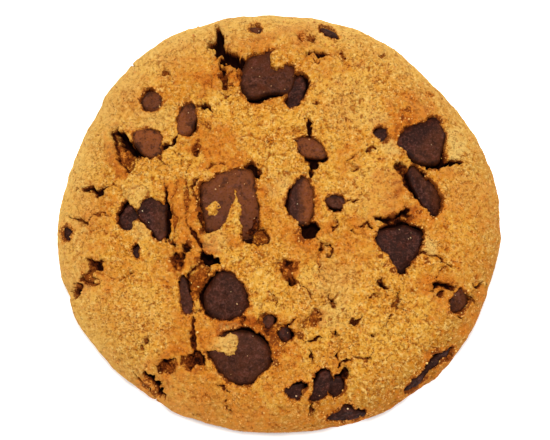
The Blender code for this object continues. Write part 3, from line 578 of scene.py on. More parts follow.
def base_outline(chip, sides=48):
    """A base chip's uneven oval outline about its middle, as seen from below."""
    t = np.linspace(0, 2 * math.pi, sides, endpoint=False)
    turn = math.radians(chip["turn"])
    oval = np.column_stack([chip["half"][0] * np.cos(t), chip["half"][1] * np.sin(t)])
    oval *= 1 + 0.06 * cloud(oval, 2.5, 43)[:, None]
    return oval @ np.array([[math.cos(turn), math.sin(turn)], [-math.sin(turn), math.cos(turn)]])


def base_pockets(plan):
    """Where the underside rises to let the base chips in, from nothing to one."""
    risen = np.zeros(len(plan))
    for chip in BASE_CHIPS.values():
        loop = chip["at"] + base_outline(chip) * (1, -1)
        at = near(plan, loop)
        d = distance_to_loop(plan[at], loop) + 0.25 * cloud(plan[at], 1.2, 44)
        risen[at] = np.maximum(risen[at], 1 - ease(-0.4, 0.3, d))
    return risen


# How far a torn edge wanders and in lumps of what size, coarse to fine, and the share of it by chips.
WANDER = (0.5, 1.7), (0.28, 0.7), (0.22, 0.6)
WANDER_BY_CHIPS = 0.6


def skin(plan):
    """Height of the dough over the plain dome, and how torn, chocolate-stained and toasted it is."""
    whole = SWELL * cloud(plan, SWELL_SIZE, 1) + LUMP * cloud(plan, LUMP_SIZE, 2)
    whole += KNOB * cloud(plan, KNOB_SIZE, 3)
    (wide, wide_size), (close, close_size), (nick, nick_size) = WANDER
    shift = [wide * cloud(plan, wide_size, s) + close * cloud(plan, close_size, s + 10) for s in (4, 5)]
    nibble = [nick * cloud(plan, nick_size, s) for s in (14, 16)]
    shift, nibble = np.stack(shift, axis=1), np.stack(nibble, axis=1)
    torn = plan + shift + nibble
    chipped = plan + WANDER_BY_CHIPS * shift + nibble
    toast, waxy, stain = (np.zeros(len(plan)) for _ in range(3))
    for ridge in RIDGES:
        push_ridge(whole, toast, torn, *ridge)
    height = whole.copy()
    for hollow in HOLLOWS:
        sink_hollow(height, waxy, torn, *hollow)
    for crack in CRACKS:
        cut_crack(height, torn, *crack)
    for chip in CHIPS.values():
        seat_chip(height, stain, chipped, chip)
    for flap in FLAPS:
        lay_flap(height, stain, chipped, *flap)
    stain = np.maximum(stain, patches(plan, SMEARED, 35))
    toast = np.maximum(toast, patches(plan, TOASTED, 31))
    return height, np.clip(whole - height, 0, None) * (1 - waxy), stain, toast


# The oven's colouring: round patches as seen, with a radius in millimetres and a strength. Dough that
# touches melting chocolate or stands proud toasts red-brown, sheltered dough stays pale, and melted
# chocolate smears the dough beside it.
TOASTED = [
    (205, 88, 2.6, 0.35), (214, 72, 2.2, 0.45), (262, 45, 3.4, 0.6), (295, 50, 2.4, 0.35),
    (418, 108, 2.6, 0.6), (406, 120, 1.8, 0.85), (430, 110, 2.0, 0.6), (240, 323, 3.6, 1.0),
    (225, 326, 2.6, 0.9), (266, 333, 2.6, 0.9), (277, 350, 1.8, 0.9), (199, 282, 2.8, 0.9),
    (118, 150, 2.2, 0.8), (120, 172, 2.0, 0.7), (236, 162, 3.0, 0.7), (218, 168, 2.4, 0.6),
    (176, 190, 2.6, 0.6), (180, 212, 3.0, 0.45), (190, 228, 2.6, 0.5), (196, 200, 2.2, 0.6),
    (198, 214, 2.0, 0.6), (82, 288, 2.2, 0.7), (440, 285, 2.2, 0.6), (480, 292, 2.0, 0.5),
    (398, 222, 2.4, 0.7), (290, 270, 2.4, 0.8), (264, 190, 1.6, 0.6), (302, 240, 2.6, 0.7),
    (150, 388, 2.6, 0.7), (170, 366, 3.0, 0.7), (194, 362, 2.6, 0.7), (265, 418, 6.0, 0.3),
    (362, 222, 1.6, 0.4), (448, 172, 2.4, 0.4), (196, 148, 1.6, 0.7), (304, 35, 2.0, 0.7),
    (178, 262, 2.4, 0.8), (208, 246, 2.2, 0.8), (320, 318, 2.0, 0.5), (330, 228, 2.0, 0.5),
    (400, 190, 2.4, 0.7), (414, 212, 2.2, 0.8), (340, 365, 2.2, 0.4), (428, 358, 2.2, 0.5),
    (476, 320, 2.4, 0.4), (240, 78, 1.8, 0.6), (234, 240, 2.0, 0.4), (104, 250, 2.0, 0.4),
    (215, 150, 7.0, 0.45), (182, 210, 6.0, 0.5), (200, 330, 8.0, 0.4), (190, 250, 6.0, 0.45),
    (190, 405, 8.0, 0.4), (250, 422, 8.0, 0.4), (215, 400, 7.0, 0.35), (160, 395, 5.0, 0.4),
    (305, 240, 6.0, 0.4), (345, 160, 4.0, 0.35), (395, 195, 7.0, 0.4), (430, 215, 6.0, 0.35),
    (360, 235, 6.0, 0.35), (445, 290, 7.0, 0.4), (95, 275, 7.0, 0.35), (90, 215, 7.0, 0.3),
    (410, 125, 7.0, 0.45), (230, 60, 6.0, 0.4), (300, 40, 6.0, 0.35), (335, 420, 6.0, 0.3),
    (175, 375, 7.0, 0.4), (285, 340, 6.0, 0.35), (160, 270, 6.0, 0.3), (330, 60, 6.0, 0.3),
    (135, 95, 9.0, 0.3), (185, 62, 8.0, 0.3), (475, 205, 9.0, 0.3), (290, 392, 9.0, 0.3),
    (345, 250, 9.0, 0.25), (280, 215, 8.0, 0.3), (460, 250, 9.0, 0.25),
]
PALE = [
    (150, 118, 5.0, 0.5), (136, 196, 3.4, 0.5), (141, 230, 2.4, 0.6), (452, 138, 3.4, 0.9),
    (457, 150, 2.4, 1.0), (426, 246, 2.2, 0.8), (228, 343, 3.4, 0.75), (285, 188, 3.2, 0.6),
    (336, 310, 4.0, 0.5), (374, 120, 3.0, 0.5), (390, 148, 2.2, 0.7), (350, 100, 8.0, 0.3),
    (330, 285, 6.0, 0.35), (372, 190, 7.0, 0.2), (130, 320, 8.0, 0.2), (216, 240, 2.4, 0.35),
    (462, 190, 5.0, 0.2),
]
SMEARED = [
    (285, 264, 1.2, 1.4), (291, 274, 1.1, 1.4), (295, 281, 0.8, 1.4), (200, 186, 1.2, 1.5),
    (200, 197, 1.2, 1.5), (201, 208, 1.2, 1.5), (203, 219, 1.3, 1.5), (200, 231, 1.6, 1.5),
    (174, 262, 1.6, 1.3), (190, 243, 1.2, 1.3), (166, 367, 1.8, 1.2), (192, 361, 2.0, 1.3),
    (251, 167, 1.6, 1.4), (244, 238, 1.4, 1.3), (262, 236, 1.4, 1.1), (304, 234, 2.4, 1.2),
    (314, 224, 1.2, 1.2), (204, 260, 2.0, 1.3), (410, 218, 1.4, 1.4), (418, 212, 1.0, 1.3),
    (392, 221, 1.8, 1.2), (223, 76, 1.2, 1.4), (227, 86, 1.0, 1.3), (345, 374, 1.2, 1.2),
    (312, 323, 1.2, 1.1), (300, 334, 1.2, 1.2), (197, 148, 0.9, 1.2), (86, 276, 1.2, 1.2),
    (97, 264, 1.0, 1.2), (301, 35, 1.4, 1.1), (341, 53, 0.9, 1.1), (268, 348, 1.4, 1.2),
    (274, 362, 1.4, 1.2), (380, 256, 0.8, 1.3), (386, 264, 0.8, 1.3), (392, 271, 0.7, 1.3),
    (424, 262, 1.2, 1.2), (146, 381, 1.4, 1.1), (158, 392, 1.2, 1.1), (202, 278, 1.6, 1.0),
    (128, 158, 1.6, 1.0), (274, 338, 1.8, 1.15), (266, 327, 1.3, 1.15), (282, 346, 1.6, 1.0),
    (403, 118, 1.5, 1.2), (410, 108, 1.3, 1.1), (432, 92, 1.2, 0.9), (433, 103, 0.9, 1.0),
    (414, 98, 1.2, 0.9),
]


def patches(plan, spots, seed):
    """The strength of round soft-edged patches, broken up by noise."""
    total = np.zeros(len(plan))
    ragged = 0.35 * cloud(plan, 1.6, seed) + 0.3 * cloud(plan, 0.7, seed + 1)
    for x, y, radius, strength in spots:
        far = np.linalg.norm(plan - on_plan([(x, y)])[0], axis=1) / radius + ragged
        total = np.maximum(total, strength * (1 - ease(0.35, 1.25, far)))
    return total


# The dough's body: one spoonful, closed all round. A square grid drawn into a disc covers the top, rows
# of faces roll down round the edge, and rings close the base, where the base chips' pockets rise. Near
# the rim the skin lies calmer; its colour there is browned a little all round, and is darker on the near
# side as painted shade and paler on the far side as painted light.

TOP_CELLS = 440
EDGE_ROWS = 14
BASE_RINGS = 60
BASE_SKIP = 4
MOST_TRIANGLES = 194_000
SKIN_FADE = 1.8
RIM_CALM = 0.6
# Rim toast: a little browning all round, more on the near side as painted shade.
RIM_TOAST_AND_SHADE = 0.28
RIM_BAND, PALE_BAND, TAN_BAND = (0.84, 0.97), (0.7, 1.02), (0.72, 1.0)
GRAIN_FADE, GRAIN_CALM, GRAIN_BAND = 3.0, 0.45, (0.84, 0.98)
# Far-side bearing where the rim is painted paler as painted light, and half its largest share.
LIT_RIM_SIDE, LIT_RIM_SHARE = math.radians(125), 0.45
# Near-side bearing where the rim is painted darker as painted shade, and the share of the rim tan that is
# the same all round.
SHADED_RIM_SIDE, TAN_ALL_ROUND = math.radians(300), 0.35


def disc_grid(cells):
    """Polar places of a square grid that is drawn into a disc, and its outer loop, in order."""
    i, j = np.meshgrid(np.arange(cells + 1), np.arange(cells + 1), indexing="ij")
    a, b = 2 * i / cells - 1, 2 * j / cells - 1
    wide = np.abs(a) > np.abs(b)
    reach = np.where(wide, a, b)
    slant = np.where(wide, b, a) / np.where(reach == 0, 1, reach) * math.pi / 4
    turn = np.where(wide, slant, math.pi / 2 - slant)
    along, bearing = np.abs(reach), np.arctan2(reach * np.sin(turn), reach * np.cos(turn))
    index = i * (cells + 1) + j
    quads = np.stack([index[:-1, :-1], index[1:, :-1], index[1:, 1:], index[:-1, 1:]], axis=-1)
    loop = np.concatenate([index[:-1, 0], index[-1, :-1], index[:0:-1, -1], index[0, :0:-1]])
    return along.ravel(), bearing.ravel(), quads.reshape(-1, 4), loop


def band(upper, lower):
    """Faces between two rings of as many points, the upper one first."""
    return np.stack([upper, lower, np.roll(lower, -1), np.roll(upper, -1)], axis=1).tolist()


def dough_grid():
    """Polar places of every point of the dough's mesh, and its faces."""
    along, bearing, quads, loop = disc_grid(TOP_CELLS)
    alongs, bearings, faces = [along], [bearing], quads.tolist()
    count, turn = len(along), bearing[loop]
    for row in range(1, EDGE_ROWS + 1):
        ring = count + np.arange(len(turn))
        alongs.append(np.full(len(turn), 1 + row / EDGE_ROWS))
        bearings.append(turn)
        faces += band(loop, ring)
        loop, count = ring, count + len(ring)
    few = turn[::BASE_SKIP]
    ring = count + np.arange(len(few))
    for k, (here, there) in enumerate(zip(ring, np.roll(ring, -1))):
        start = k * BASE_SKIP
        outer = [loop[(start + m) % len(loop)] for m in range(BASE_SKIP + 1)]
        faces += [[a, here, b] for a, b in zip(outer[:2], outer[1:3])]
        faces += [[outer[2], here, there], [outer[2], there, outer[3]], [outer[3], there, outer[4]]]
    for row in range(BASE_RINGS):
        alongs.append(np.full(len(few), 2 + (row + 0.5) / BASE_RINGS))
        bearings.append(few)
        if row:
            faces += band(ring, ring + len(few))
            ring = ring + len(few)
    last = ring[-1] + 1
    alongs.append([3.0])
    bearings.append([0.0])
    faces += [[a, last, b] for a, b in zip(ring, np.roll(ring, -1))]
    return np.concatenate(alongs), np.concatenate(bearings), faces


def new_object(name, places, faces):
    """A smooth-shaded mesh object from points in millimetres."""
    mesh = bpy.data.meshes.new(name)
    mesh.from_pydata((places * MM).tolist(), [], faces)
    mesh.shade_smooth()
    made = bpy.data.objects.new(name, mesh)
    bpy.context.scene.collection.objects.link(made)
    return made


def store(piece, name, values):
    """Keeps one number for each point of a piece's mesh, for its nodes and its material to read."""
    piece.data.attributes.new(name, "FLOAT", "POINT").data.foreach_set("value", values.astype(np.float32))


def raise_dough():
    """The dough as one closed mesh. Its points keep what the crumb's tree and the colours read."""
    along, bearing, faces = dough_grid()
    places = dough_places(along, bearing)
    height, deep, stain, toast = skin(places[:, :2])
    fade = ease(0, SKIN_FADE, places[:, 2]) * (along < 2)
    at_rim = ease(*RIM_BAND, along)
    # Painted shade on the near rim, over a share of browning that is the same all round.
    baked = np.clip(TAN_ALL_ROUND + (1 - TAN_ALL_ROUND) * np.cos(bearing - SHADED_RIM_SIDE), 0, 1)
    # The far rim painted paler as painted light.
    pale_and_lit = LIT_RIM_SHARE * (1 + np.cos(bearing - LIT_RIM_SIDE))
    pale_and_lit *= 1 + 0.25 * cloud(places[:, :2], 3.0, 37)
    toast = np.maximum(toast, RIM_TOAST_AND_SHADE * at_rim * baked)
    lifted = np.where(deep > 0.3, height, height * (1 - RIM_CALM * at_rim))
    places += dough_normals(along, bearing) * (lifted * fade)[:, None]
    base = along >= 2
    risen = np.zeros(len(along))
    risen[base] = base_pockets(places[base, :2])
    places[:, 2] += BASE_POCKET * risen
    # Pale: real pale patches, and the far rim painted paler as painted light.
    pale = np.maximum(patches(places[:, :2], PALE, 33), pale_and_lit * ease(*PALE_BAND, along))
    made = new_object("baked_dough", places, faces)
    store(made, "deep", np.maximum(deep * fade, risen))
    store(made, "stain", stain * fade)
    store(made, "toast", toast * fade)
    store(made, "pale", pale * fade)
    # The rim tan: browning all round plus painted shade on the near side.
    store(made, "rim", ease(*TAN_BAND, along) * baked)
    store(made, "top", ease(0, GRAIN_FADE, places[:, 2]) * (1 - GRAIN_CALM * ease(*GRAIN_BAND, along)))
    return made


dough = raise_dough()


# The dough's crumb: sugar and flour bake to a sandy skin of small grains, with pores where steam came
# out and fine crackle where it dried. One node tree raises the grains and sinks the pores.

def node(tree, kind, settings=None, inputs=None):
    """Adds a node, sets its settings, and gives its inputs constants or other nodes' sockets."""
    made = tree.nodes.new(kind)
    for name, value in (settings or {}).items():
        setattr(made, name, value)
    for name, value in (inputs or {}).items():
        if isinstance(value, bpy.types.NodeSocket):
            tree.links.new(value, made.inputs[name])
        else:
            made.inputs[name].default_value = value
    return made


def maths(tree, operation, *values):
    return node(tree, "ShaderNodeMath", {"operation": operation}, dict(enumerate(values))).outputs[0]


def step_down(tree, value, low, high):
    """One below low, falling smoothly to nothing at high."""
    return node(tree, "ShaderNodeMapRange", {"interpolation_type": "SMOOTHSTEP"},
                {0: value, 1: low, 2: high, 3: 1.0, 4: 0.0}).outputs[0]


def noise_of(tree, vector, size, detail=2.0, roughness=0.5):
    """Noise from 0 to 1 in lumps of a size in millimetres."""
    return node(tree, "ShaderNodeTexNoise", {"noise_dimensions": "3D"},
                {"Vector": vector, "Scale": 1 / size, "Detail": detail, "Roughness": roughness})


def cells_of(tree, vector, size, feature="F1"):
    return node(tree, "ShaderNodeTexVoronoi", {"feature": feature}, {"Vector": vector, "Scale": 1 / size})


def warped(tree, vector, size, reach):
    """The vector moved about by noise of a size, so that no pattern on it keeps a straight line."""
    wander = noise_of(tree, vector, size).outputs["Color"]
    centred = node(tree, "ShaderNodeVectorMath", {"operation": "SUBTRACT"},
                   {0: wander, 1: (0.5, 0.5, 0.5)}).outputs[0]
    return node(tree, "ShaderNodeVectorMath", {"operation": "MULTIPLY_ADD"},
                {0: centred, 1: (2 * reach,) * 3, 2: vector}).outputs[0]


def new_tree(name, sizes):
    """A Geometry Nodes tree with a geometry in and out, and a named input for each size."""
    tree = bpy.data.node_groups.new(name, "GeometryNodeTree")
    tree.interface.new_socket("Geometry", in_out="INPUT", socket_type="NodeSocketGeometry")
    tree.interface.new_socket("Geometry", in_out="OUTPUT", socket_type="NodeSocketGeometry")
    for label, value in sizes.items():
        kind = "NodeSocketInt" if isinstance(value, int) else "NodeSocketFloat"
        tree.interface.new_socket(label, in_out="INPUT", socket_type=kind)
    return tree, tree.nodes.new("NodeGroupInput"), tree.nodes.new("NodeGroupOutput")


def finish_tree(tree, last, look, result):
    """Ends a tree: what its last node gives is made real geometry and gets its material."""
    realized = node(tree, "GeometryNodeRealizeInstances", {}, {"Geometry": last.outputs[0]})
    dressed = node(tree, "GeometryNodeSetMaterial", {},
                   {"Geometry": realized.outputs[0], "Material": look})
    tree.links.new(dressed.outputs[0], result.inputs[0])
    return tree


def keep_result(piece, modifier):
    """Makes what a modifier gives the piece's own mesh, and takes the modifier off."""
    graph = bpy.context.evaluated_depsgraph_get()
    result = bpy.data.meshes.new_from_object(piece.evaluated_get(graph), depsgraph=graph)
    piece.modifiers.remove(modifier)
    piece.data = result
    piece.data.shade_smooth()


def apply_tree(piece, tree, sizes):
    """Runs a tree on a piece with the given sizes."""
    modifier = piece.modifiers.new(tree.name, "NODES")
    modifier.node_group = tree
    for item in tree.interface.items_tree:
        if item.in_out == "INPUT" and item.name in sizes:
            modifier[item.identifier] = sizes[item.name]
    keep_result(piece, modifier)


def thin_out(piece, most):
    """Merges the flatter parts of a mesh, so that its torn edges keep the finest triangles."""
    modifier = piece.modifiers.new("thin out", "DECIMATE")
    modifier.ratio = most / sum(len(face.vertices) - 2 for face in piece.data.polygons)
    keep_result(piece, modifier)


def attribute(tree, name):
    kept = node(tree, "GeometryNodeInputNamedAttribute", {"data_type": "FLOAT"}, {"Name": name})
    return kept.outputs[0]


GRAIN = {"Lump Height": 0.5, "Lump Size": 2.4, "Grain Height": 0.13, "Grain Size": 0.8,
         "Pore Depth": 0.5, "Pore Size": 1.05, "Crackle Depth": 0.4, "Crackle Size": 2.6}


def grain_tree(sizes, look):
    """Moves the dough's points in and out along their normals, and notes where it pitted them."""
    tree, given, result = new_tree("crumb of the dough", sizes)
    place = node(tree, "GeometryNodeInputPosition").outputs[0]
    spot = node(tree, "ShaderNodeVectorMath", {"operation": "SCALE"},
                {0: place, "Scale": 1 / MM}).outputs[0]
    crooked = warped(tree, spot, 1.4, 0.35)

    def scale(label):
        return maths(tree, "DIVIDE", 1.0, given.outputs[label])

    lumps = noise_of(tree, spot, 1.0, 4.0, 0.6)
    tree.links.new(scale("Lump Size"), lumps.inputs["Scale"])
    grains = cells_of(tree, crooked, 1.0)
    tree.links.new(scale("Grain Size"), grains.inputs["Scale"])
    pores = cells_of(tree, crooked, 1.0)
    tree.links.new(scale("Pore Size"), pores.inputs["Scale"])
    plates = cells_of(tree, warped(tree, spot, 0.9, 0.3), 1.0, "DISTANCE_TO_EDGE")
    tree.links.new(scale("Crackle Size"), plates.inputs["Scale"])

    rise = maths(tree, "MULTIPLY", maths(tree, "SUBTRACT", lumps.outputs[0], 0.5), 2.0)
    rise = maths(tree, "MULTIPLY", rise, given.outputs["Lump Height"])
    bead = maths(tree, "SUBTRACT", 0.5, grains.outputs["Distance"])
    rise = maths(tree, "ADD", rise, maths(tree, "MULTIPLY", bead, given.outputs["Grain Height"]))
    open_pore = step_down(tree, pores.outputs["Distance"], 0.1, 0.27)
    chance = node(tree, "ShaderNodeSeparateXYZ", {}, {0: pores.outputs["Color"]}).outputs[0]
    open_pore = maths(tree, "MULTIPLY", open_pore, maths(tree, "GREATER_THAN", chance, 0.5))
    where = step_down(tree, noise_of(tree, spot, 1.7).outputs[0], 0.32, 0.42)
    crackle = maths(tree, "MULTIPLY", step_down(tree, plates.outputs["Distance"], 0.02, 0.09), where)
    sunk = maths(tree, "ADD", maths(tree, "MULTIPLY", open_pore, given.outputs["Pore Depth"]),
                 maths(tree, "MULTIPLY", crackle, given.outputs["Crackle Depth"]))
    top = attribute(tree, "top")
    rise = maths(tree, "MULTIPLY", maths(tree, "SUBTRACT", rise, sunk), top)
    pit_in = maths(tree, "MULTIPLY", sunk, maths(tree, "SUBTRACT", top, 1.0))
    rise = maths(tree, "ADD", rise, pit_in)

    normal = node(tree, "GeometryNodeInputNormal").outputs[0]
    offset = node(tree, "ShaderNodeVectorMath", {"operation": "SCALE"},
                  {0: normal, "Scale": maths(tree, "MULTIPLY", rise, MM)}).outputs[0]
    noted = node(tree, "GeometryNodeStoreNamedAttribute", {"data_type": "FLOAT", "domain": "POINT"},
                 {"Geometry": given.outputs["Geometry"], "Name": "pit",
                  "Value": maths(tree, "MAXIMUM", open_pore, crackle)})
    moved = node(tree, "GeometryNodeSetPosition", {}, {"Geometry": noted.outputs[0], "Offset": offset})
    return finish_tree(tree, moved, look, result)


def tint(red, green, blue):
    """A colour as a camera shows it, 0 to 255 each, in Blender's own scale."""
    channels = [c / 255 for c in (red, green, blue)]
    return tuple(c / 12.92 if c <= 0.04045 else ((c + 0.055) / 1.055) ** 2.4 for c in channels) + (1.0,)


def blend(tree, amount, first, second):
    return node(tree, "ShaderNodeMix", {"data_type": "RGBA"}, {0: amount, 6: first, 7: second}).outputs[2]


def part_of(tree, amount, share):
    return maths(tree, "MULTIPLY", amount, share)


def coat(tree, colour, *coats):
    """Lays coats over a colour in turn: each one's colour, where it lies and how much it hides there."""
    for over, where, share in coats:
        colour = blend(tree, part_of(tree, where, share), colour, over)
    return colour


def reading(tree, name):
    return node(tree, "ShaderNodeAttribute", {"attribute_name": name}).outputs["Fac"]


def step_up(tree, value, low, high):
    """Nothing below low, rising smoothly to one at high."""
    return node(tree, "ShaderNodeMapRange", {"interpolation_type": "SMOOTHSTEP"},
                {0: value, 1: low, 2: high, 3: 0.0, 4: 1.0}).outputs[0]


def new_material(name, roughness):
    """A Principled material, its tree, its shader, and Object coordinates in millimetres."""
    made = bpy.data.materials.new(name)
    made.use_nodes = True
    tree = made.node_tree
    shader = tree.nodes["Principled BSDF"]
    shader.inputs["Roughness"].default_value = roughness
    place = node(tree, "ShaderNodeTexCoord").outputs["Object"]
    spot = node(tree, "ShaderNodeMapping", {}, {"Vector": place, "Scale": (1 / MM,) * 3}).outputs[0]
    return made, tree, shader, spot


def surface(tree, shader, colour, relief, strength, reach):
    """Gives a shader its colour and a bump of up to the reach, in millimetres."""
    bump = node(tree, "ShaderNodeBump", {},
                {"Height": relief, "Strength": strength, "Distance": reach * MM})
    tree.links.new(colour, shader.inputs["Base Color"])
    tree.links.new(bump.outputs[0], shader.inputs["Normal"])


GOLDEN = tint(233, 171, 68)
BROWNER = tint(222, 150, 55)
SANDY_AND_LIT = tint(246, 200, 112)
ORANGE = tint(204, 114, 34)
OCHRE_AND_SHADE = tint(200, 118, 6)
AMBER = tint(212, 120, 34)
STAINED = tint(112, 50, 20)
TOAST = tint(170, 80, 22)
SCORCHED = tint(92, 38, 14)
PALE_AND_LIT_DOUGH = tint(234, 190, 104)
SPECK_AND_PIT_SHADE = tint(146, 62, 0)
TORN_AND_SHADE = tint(134, 64, 18)
DEEP_TORN_AND_SHADE = tint(76, 28, 10)
CAVE_SHADOW = tint(34, 11, 5)
RIM_TAN_AND_SHADE = tint(122, 70, 30)
BASE_TAN = tint(178, 104, 42)
BASE_BROWN = tint(148, 80, 30)


def thin_lines(tree, spot, size, width, low, high):
    """Short broken cracks between plates of a size, kept only where a noise runs above low."""
    plates = cells_of(tree, warped(tree, spot, size / 2, size / 3), size, "DISTANCE_TO_EDGE")
    where = step_up(tree, noise_of(tree, spot, size * 0.8, 3.0, 0.6).outputs[0], low, high)
    return maths(tree, "MULTIPLY", step_down(tree, plates.outputs["Distance"], width * 0.3, width), where)


def dough_look():
    """Baked dough, from its golden ground up to the dark of its tears, which is partly painted shade, and
    browner underneath.
    """
    made, tree, shader, spot = new_material("baked dough", 0.82)
    broad = noise_of(tree, spot, 7.0, 4.0, 0.6).outputs[0]
    warm = noise_of(tree, spot, 2.0, 6.0, 0.7).outputs[0]
    grit = noise_of(tree, spot, 0.8, 5.0, 0.75).outputs[0]
    fine = noise_of(tree, spot, 0.42, 3.0, 0.7).outputs[0]
    ragged = maths(tree, "SUBTRACT", maths(tree, "ADD", warm, fine), 1.0)

    toast = maths(tree, "MULTIPLY", reading(tree, "toast"), maths(tree, "MULTIPLY_ADD", warm, 3.0, -0.4))
    toast = maths(tree, "MULTIPLY_ADD", maths(tree, "SUBTRACT", grit, 0.5), reading(tree, "toast"), toast)
    scorch = step_up(tree, noise_of(tree, spot, 0.9, 4.0, 0.7).outputs[0], 0.5, 0.6)
    scorch = maths(tree, "MULTIPLY", scorch, maths(tree, "POWER", reading(tree, "toast"), 1.5))
    # Real pale dough, and the far rim painted paler as painted light.
    pale_and_lit = maths(tree, "MULTIPLY_ADD", grit, 1.2, 0.3)
    pale_and_lit = maths(tree, "MULTIPLY", reading(tree, "pale"), pale_and_lit)
    stain = maths(tree, "MULTIPLY_ADD", ragged, 1.6, reading(tree, "stain"))
    # How far the skin lies below its surroundings; the colours it picks below are partly torn crumb and
    # partly painted shade in cracks, hollows and pockets, darkest as painted shadow.
    deep = maths(tree, "MULTIPLY_ADD", ragged, 2.4, reading(tree, "deep"))

    # The dark marks: real specks, plus painted shade in the pores and crackle that the crumb's tree sank
    # and in the hair cracks, which the bump also sinks.
    dry = maths(tree, "MULTIPLY_ADD", step_up(tree, broad, 0.4, 0.56), 0.25, 0.4)
    flecks = maths(tree, "MULTIPLY", step_up(tree, fine, 0.56, 0.64), dry)
    lines = maths(tree, "MAXIMUM", part_of(tree, thin_lines(tree, spot, 1.4, 0.08, 0.54, 0.6), 0.65),
                  part_of(tree, thin_lines(tree, spot, 0.8, 0.12, 0.56, 0.62), 0.5))
    dark = maths(tree, "MAXIMUM", maths(tree, "MAXIMUM", flecks, lines),
                 part_of(tree, reading(tree, "pit"), 0.85))
    smooth = maths(tree, "MAXIMUM", reading(tree, "toast"), part_of(tree, reading(tree, "pale"), 0.2))
    glazed = maths(tree, "MULTIPLY_ADD", smooth, -0.8, 1.0)
    dark = maths(tree, "MULTIPLY", maths(tree, "MULTIPLY", dark, reading(tree, "top")), glazed)

    base = step_down(tree, reading(tree, "top"), 0.1, 0.55)
    mottle = noise_of(tree, spot, 3.0, 5.0, 0.6).outputs[0]
    under = blend(tree, step_up(tree, mottle, 0.35, 0.65), BASE_TAN, BASE_BROWN)
    colour = coat(tree, blend(tree, step_up(tree, broad, 0.38, 0.62), GOLDEN, BROWNER),
                  # Rim tan: partly real browning, partly painted shade on the near rim.
                  (RIM_TAN_AND_SHADE, reading(tree, "rim"), 0.65),
                  (ORANGE, step_up(tree, warm, 0.5, 0.66), 0.75),
                  # High spots of the grain painted lighter and low spots darker, on the same noise as the
                  # bump: partly sandy grain, partly painted light and shade.
                  (SANDY_AND_LIT, step_up(tree, grit, 0.52, 0.62), 0.8),
                  (OCHRE_AND_SHADE, step_down(tree, grit, 0.36, 0.48), 0.8),
                  (AMBER, step_up(tree, toast, 0.05, 0.6), 0.8),
                  (TOAST, step_up(tree, toast, 0.55, 1.05), 0.85),
                  (SCORCHED, scorch, 0.8),
                  # Pale dough, partly the far rim painted paler as painted light.
                  (PALE_AND_LIT_DOUGH, pale_and_lit, 1.0),
                  (AMBER, step_up(tree, stain, 0.4, 0.8), 0.55),
                  (STAINED, step_up(tree, stain, 0.82, 1.1), 0.85),
                  # Specks, and painted shade in pores, crackle and hair cracks.
                  (SPECK_AND_PIT_SHADE, dark, 1.0),
                  # Tear colours: partly torn crumb, partly painted shade; the deepest is painted shadow.
                  (TORN_AND_SHADE, step_up(tree, deep, 0.46, 0.58), 0.9),
                  (DEEP_TORN_AND_SHADE, step_up(tree, deep, 0.95, 1.1), 0.88),
                  (CAVE_SHADOW, step_up(tree, deep, 1.45, 1.65), 1.0),
                  (under, base, 0.8))
    shader.inputs["Specular IOR Level"].default_value = 0.02
    surface(tree, shader, colour, maths(tree, "MULTIPLY_ADD", dark, -0.8, maths(tree, "ADD", grit, fine)),
            1.0, 0.3)
    return made


baked = dough_look()
apply_tree(dough, grain_tree(GRAIN, baked), GRAIN)
thin_out(dough, MOST_TRIANGLES)
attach(dough, "root")
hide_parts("dough")


# The chocolate: chips and chopped chunks stirred through the dough. They soften in the oven and set
# again in their pockets, with a dull patchy face, a dark edge where it slips under the dough that is
# partly painted shade, scuffs, thin pale streaks painted on as highlights, on some a side painted paler
# as painted light, and a body that narrows below.

CROWN, DOMED = 0.9, 0.15
COVERED = 0.55
EDGE_MELT_AND_SHADE_REACH = 0.7
TOP_RINGS, LOW_RINGS, CHIP_SIDES = 18, 6, 72
EDGE_SQUARENESS = 12
BODY_NARROWS = 0.75
CUT_AT, CUT_SLOPE = (0.15, 0.5), (0.12, 0.3)
WEAR, WEAR_SIZE = 0.2, 2.0
SCUFF, SCUFF_SIZE = 0.09, 0.7
BASE_CHIP_DEPTH = 3.0
BASE_CHIP_RECESS = 0.15
BASE_CHIP_MILK = 0.25
BASE_CHIP_SEED = 60


def seat_of(plan):
    """Centre of a chocolate face on the plain dome, and the directions across, up and out of it."""
    x, y = plan.mean(0)
    step = 0.6
    east = np.array([2 * step, 0, dome(x + step, y) - dome(x - step, y)], float)
    north = np.array([0, 2 * step, dome(x, y + step) - dome(x, y - step)], float)
    out = np.cross(east, north)
    out /= np.linalg.norm(out)
    across = east / np.linalg.norm(east)
    return np.array([x, y, float(dome(x, y))]), across, np.cross(out, across), out


